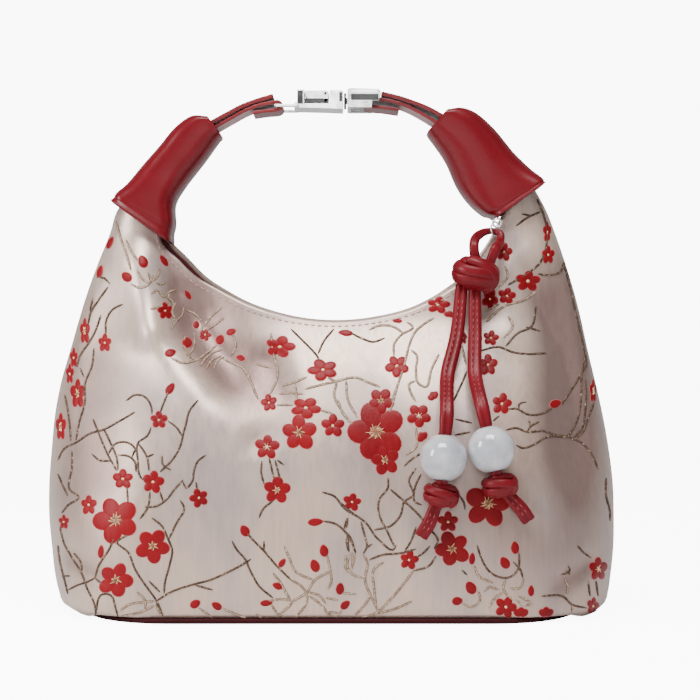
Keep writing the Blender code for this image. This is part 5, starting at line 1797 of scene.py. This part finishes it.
def make_fleck_group():
    tree, given, out = new_group(
        "flecked_thread",
        [
            ("Colour", (0.2, 0.1, 0.1, 1)), ("Fleck", (0.1, 0.05, 0.05, 1)),
            ("Pale", (0.5, 0.4, 0.3, 1)),
        ],
        FINISH_OUTPUTS,
    )
    here = stretched(tree, (1, 1, 1))
    dark = noise(tree, here, 1100.0, 2.0, 0.6, (-700, 100))
    light = noise(tree, here, 800.0, 2.0, 0.6, (-700, -200))
    tone = between(tree, dark, 0.46, 0.56)
    tone = mixed(tree, tone, given.outputs["Colour"], given.outputs["Fleck"])
    tone = mixed(tree, between(tree, light, 0.60, 0.68), tone, given.outputs["Pale"])
    tree.links.new(tone, out.inputs["Colour"])
    tree.links.new(dark, out.inputs["Height"])
    tree.links.new(between(tree, dark, 0.3, 0.7, 0.5, 0.7), out.inputs["Roughness"])
    return tree


fleck_group = make_fleck_group()


def flecked(name, colour, fleck, pale):
    values = {"Colour": (*colour, 1), "Fleck": (*fleck, 1), "Pale": (*pale, 1)}
    return dressed(name, fleck_group, values, 0.5, Specular_IOR_Level=0.15)


petal_thread = thread_look("crimson_thread", (0.24, 0.0050, 0.0090), (0.17, 0.0035, 0.0065))
halo_thread = thread_look("pink_edge_thread", (0.50, 0.16, 0.15), (0.40, 0.10, 0.10))
heart_thread = flecked(
    "old_gold_thread", (0.28, 0.10, 0.05), (0.14, 0.05, 0.03), (0.62, 0.45, 0.28),
)
stamen_thread = thread_look(
    "pale_gold_thread", (0.85, 0.66, 0.38), (0.70, 0.50, 0.28), Metallic=0.3,
)
brown_thread = flecked(
    "brown_thread", (0.125, 0.077, 0.054), (0.050, 0.030, 0.021), (0.40, 0.29, 0.20),
)
olive_thread = flecked(
    "olive_edge_thread", (0.17, 0.115, 0.082), (0.08, 0.05, 0.036), (0.46, 0.35, 0.25),
)
gold_thread = flecked(
    "gold_branch_thread", (0.42, 0.30, 0.215), (0.25, 0.165, 0.115), (0.62, 0.50, 0.38),
)


def patch(across, down, radii, turn, lift, squeeze=1.0, heart=None, sides=16, point=0.0):
    """A raised oval patch with a paler outer ring, in chart units; point draws its tip out."""
    rings = ((0.0, 1.0), (0.5, 0.95), (0.85, 0.75), (1.0, 0.35), (1.0 + 0.7 / max(radii), 0.0))
    xs, ys, lifts = [], [], []
    for share, high in rings:
        for k in range(sides if share else 1):
            a = 2 * math.pi * k / sides
            u = radii[0] * share * math.cos(a) * (1 + point * max(0.0, math.cos(a)) ** 3 * 0.5)
            v = radii[1] * share * math.sin(a) * (1 - point * 0.35 * max(0.0, math.cos(a)))
            du = u * math.cos(turn) - v * math.sin(turn)
            dv = u * math.sin(turn) + v * math.cos(turn)
            xs.append(across + du)
            ys.append(down - dv)
            lifts.append(0.00003 + lift * high)
    if heart is not None:
        xs = [heart + (x - heart) * squeeze for x in xs]
    faces = [(0, 1 + k, 1 + (k + 1) % sides) for k in range(sides)]
    faces += grid_faces(4, sides, 1, True, True)
    picks = [0] * sides + [0] * (2 * sides) + [1] * sides
    return xs, ys, lifts, faces, picks


def ribbon(line, wide, lift):
    """A branch: a low rounded ridge along chart points."""
    length = sum(math.dist(a, b) for a, b in zip(line, line[1:]))
    count = max(4, int(length / 3.0))
    path = smooth_line([(x, y, 0.0) for x, y in line], count)[:, :2]
    ahead = np.gradient(path, axis=0)
    ahead /= np.maximum(np.linalg.norm(ahead, axis=1, keepdims=True), 1e-9)
    side = np.stack((-ahead[:, 1], ahead[:, 0]), axis=1)
    taper = np.clip(np.minimum(np.arange(count), np.arange(count)[::-1]) / 2 + 0.45, 0.45, 1.0)
    xs, ys, lifts = [], [], []
    for share, high in ((-1.0, 0.0), (-0.6, 0.8), (0.0, 1.0), (0.6, 0.8), (1.0, 0.0)):
        xs.append(path[:, 0] + side[:, 0] * wide / 2 * share * taper)
        ys.append(path[:, 1] + side[:, 1] * wide / 2 * share * taper)
        lifts.append(np.full(count, 0.00002 + lift * high))
    xs, ys, lifts = (np.array(v).T.ravel() for v in (xs, ys, lifts))
    return list(xs), list(ys), list(lifts), grid_faces(count, 5), [1, 0, 0, 1] * (count - 1)


def sewn(name, patches, looks, folds, behind):
    """Lays patches on the front cloth, or mirrored on the back one, as one piece."""
    xs, ys, lifts, faces, picks = [], [], [], [], []
    for px, py, high, patch_faces, patch_picks in patches:
        start = len(xs)
        xs += px
        ys += py
        lifts += high
        faces += [tuple(start + i for i in face) for face in patch_faces]
        picks += patch_picks
    points = on_cloth(xs, ys, np.array(lifts), folds, -1 if behind else 1)
    if behind:
        points[:, :2] *= -1
    made = piece(name, points, faces, looks, "brocade", picks=picks)
    mesh = made.data
    middle = mesh.polygons[0].normal
    if (middle.y > 0) != behind:
        mesh.flip_normals()
    return made


def embroider(folds, behind):
    petals, hearts, stamens, buds = [], [], [], []
    rng = random.Random(12)
    for across, down, size, first, count, squeeze in BLOSSOMS:
        start = math.radians(first)
        spread_angle = 2 * math.pi / 5
        for k in range(count):
            a = start + k * spread_angle if count == 5 else start + (k - 1) * 0.95
            round_one = size > 25
            reach = size * (0.275 if count == 5 else 0.20) * rng.uniform(0.92, 1.08)
            cx, cy = across + reach * math.cos(a), down - reach * math.sin(a)
            wide = rng.uniform(0.175, 0.205) if round_one else rng.uniform(0.170, 0.195)
            radii = (size * rng.uniform(0.215, 0.24), size * wide)
            petals.append(patch(cx, cy, radii, a, 0.00030, squeeze, across))
        if round_one:
            radii = (size * 0.13, size * 0.11)
            hearts.append(patch(across, down, radii, 0.4, 0.00042, squeeze, across, 10))
        elif count == 5:
            radii = (max(1.0, size * 0.06),) * 2
            stamens.append(patch(across, down, radii, 0, 0.00050, squeeze, across, 8))
        if size < 24:
            continue
        threads = 9 if size > 40 else 6
        for k in range(threads):
            a = start + 0.6 + k * 2 * math.pi / threads + rng.uniform(-0.15, 0.15)
            near, far = size * rng.uniform(0.02, 0.06), size * rng.uniform(0.12, 0.19)
            tip = (across + squeeze * far * math.cos(a), down - far * math.sin(a))
            root = (across + squeeze * near * math.cos(a + 0.5), down - near * math.sin(a + 0.5))
            stamens.append(ribbon((root, tip), 0.9, 0.00050))
    for across, down, lean, long, wide in BUDS:
        buds.append(patch(across, down, (long, wide), math.radians(lean), 0.00034, point=0.25))
    side = "back" if behind else "front"
    sewn(f"petals_{side}", petals, [petal_thread, halo_thread], folds, behind)
    sewn(f"blossom_hearts_{side}", hearts, [heart_thread, heart_thread], folds, behind)
    sewn(f"stamens_{side}", stamens, [stamen_thread, stamen_thread], folds, behind)
    sewn(f"buds_{side}", buds, [petal_thread, halo_thread], folds, behind)
    brown = [ribbon(line, 2.3, 0.00030) for line in BROWN_BRANCHES]
    gold = [ribbon(line, 2.6, 0.00028) for line in GOLD_BRANCHES]
    sewn(f"brown_branches_{side}", brown, [brown_thread, brown_thread], folds, behind)
    sewn(f"gold_branches_{side}", gold, [gold_thread, olive_thread], folds, behind)


embroider(CLOTH_FOLDS, False)
embroider(REAR_FOLDS, True)
print("embroidery laid on both sides")

# %% [markdown]
# ## Topstitching at the rim
# The rim is turned in over the lining and stitched down 2.5 mm below the fold, in pink thread
# that sinks a little into the satin.

# %% Rim stitches
STITCH_DROP = 0.0025


def build_rim_stitches():
    rows = []
    for grid, facing in ((front_grid, 1), (back_grid, -1)):
        line = []
        for j in range(4, COLUMNS - 3):
            column = grid[::-1, j]
            down = distances(column)
            line.append([np.interp(STITCH_DROP, down, column[:, c]) for c in range(3)])
        line = np.array(line)
        normal = np.array([(0.0, -1.0, 0.0)] * len(line))
        line[:, 1] -= 0.00012
        if facing < 0:
            line[:, :2] *= -1
            normal *= -1
        rows += stitch_row(line, normal, 0.0017, 0.0010, 0.00022)
    piece("rim_stitches", *gathered(rows), pink_thread, "brocade")


pink_thread = thread_look("pink_thread", (0.62, 0.36, 0.34), (0.52, 0.26, 0.26))
build_rim_stitches()
print("rim stitched")
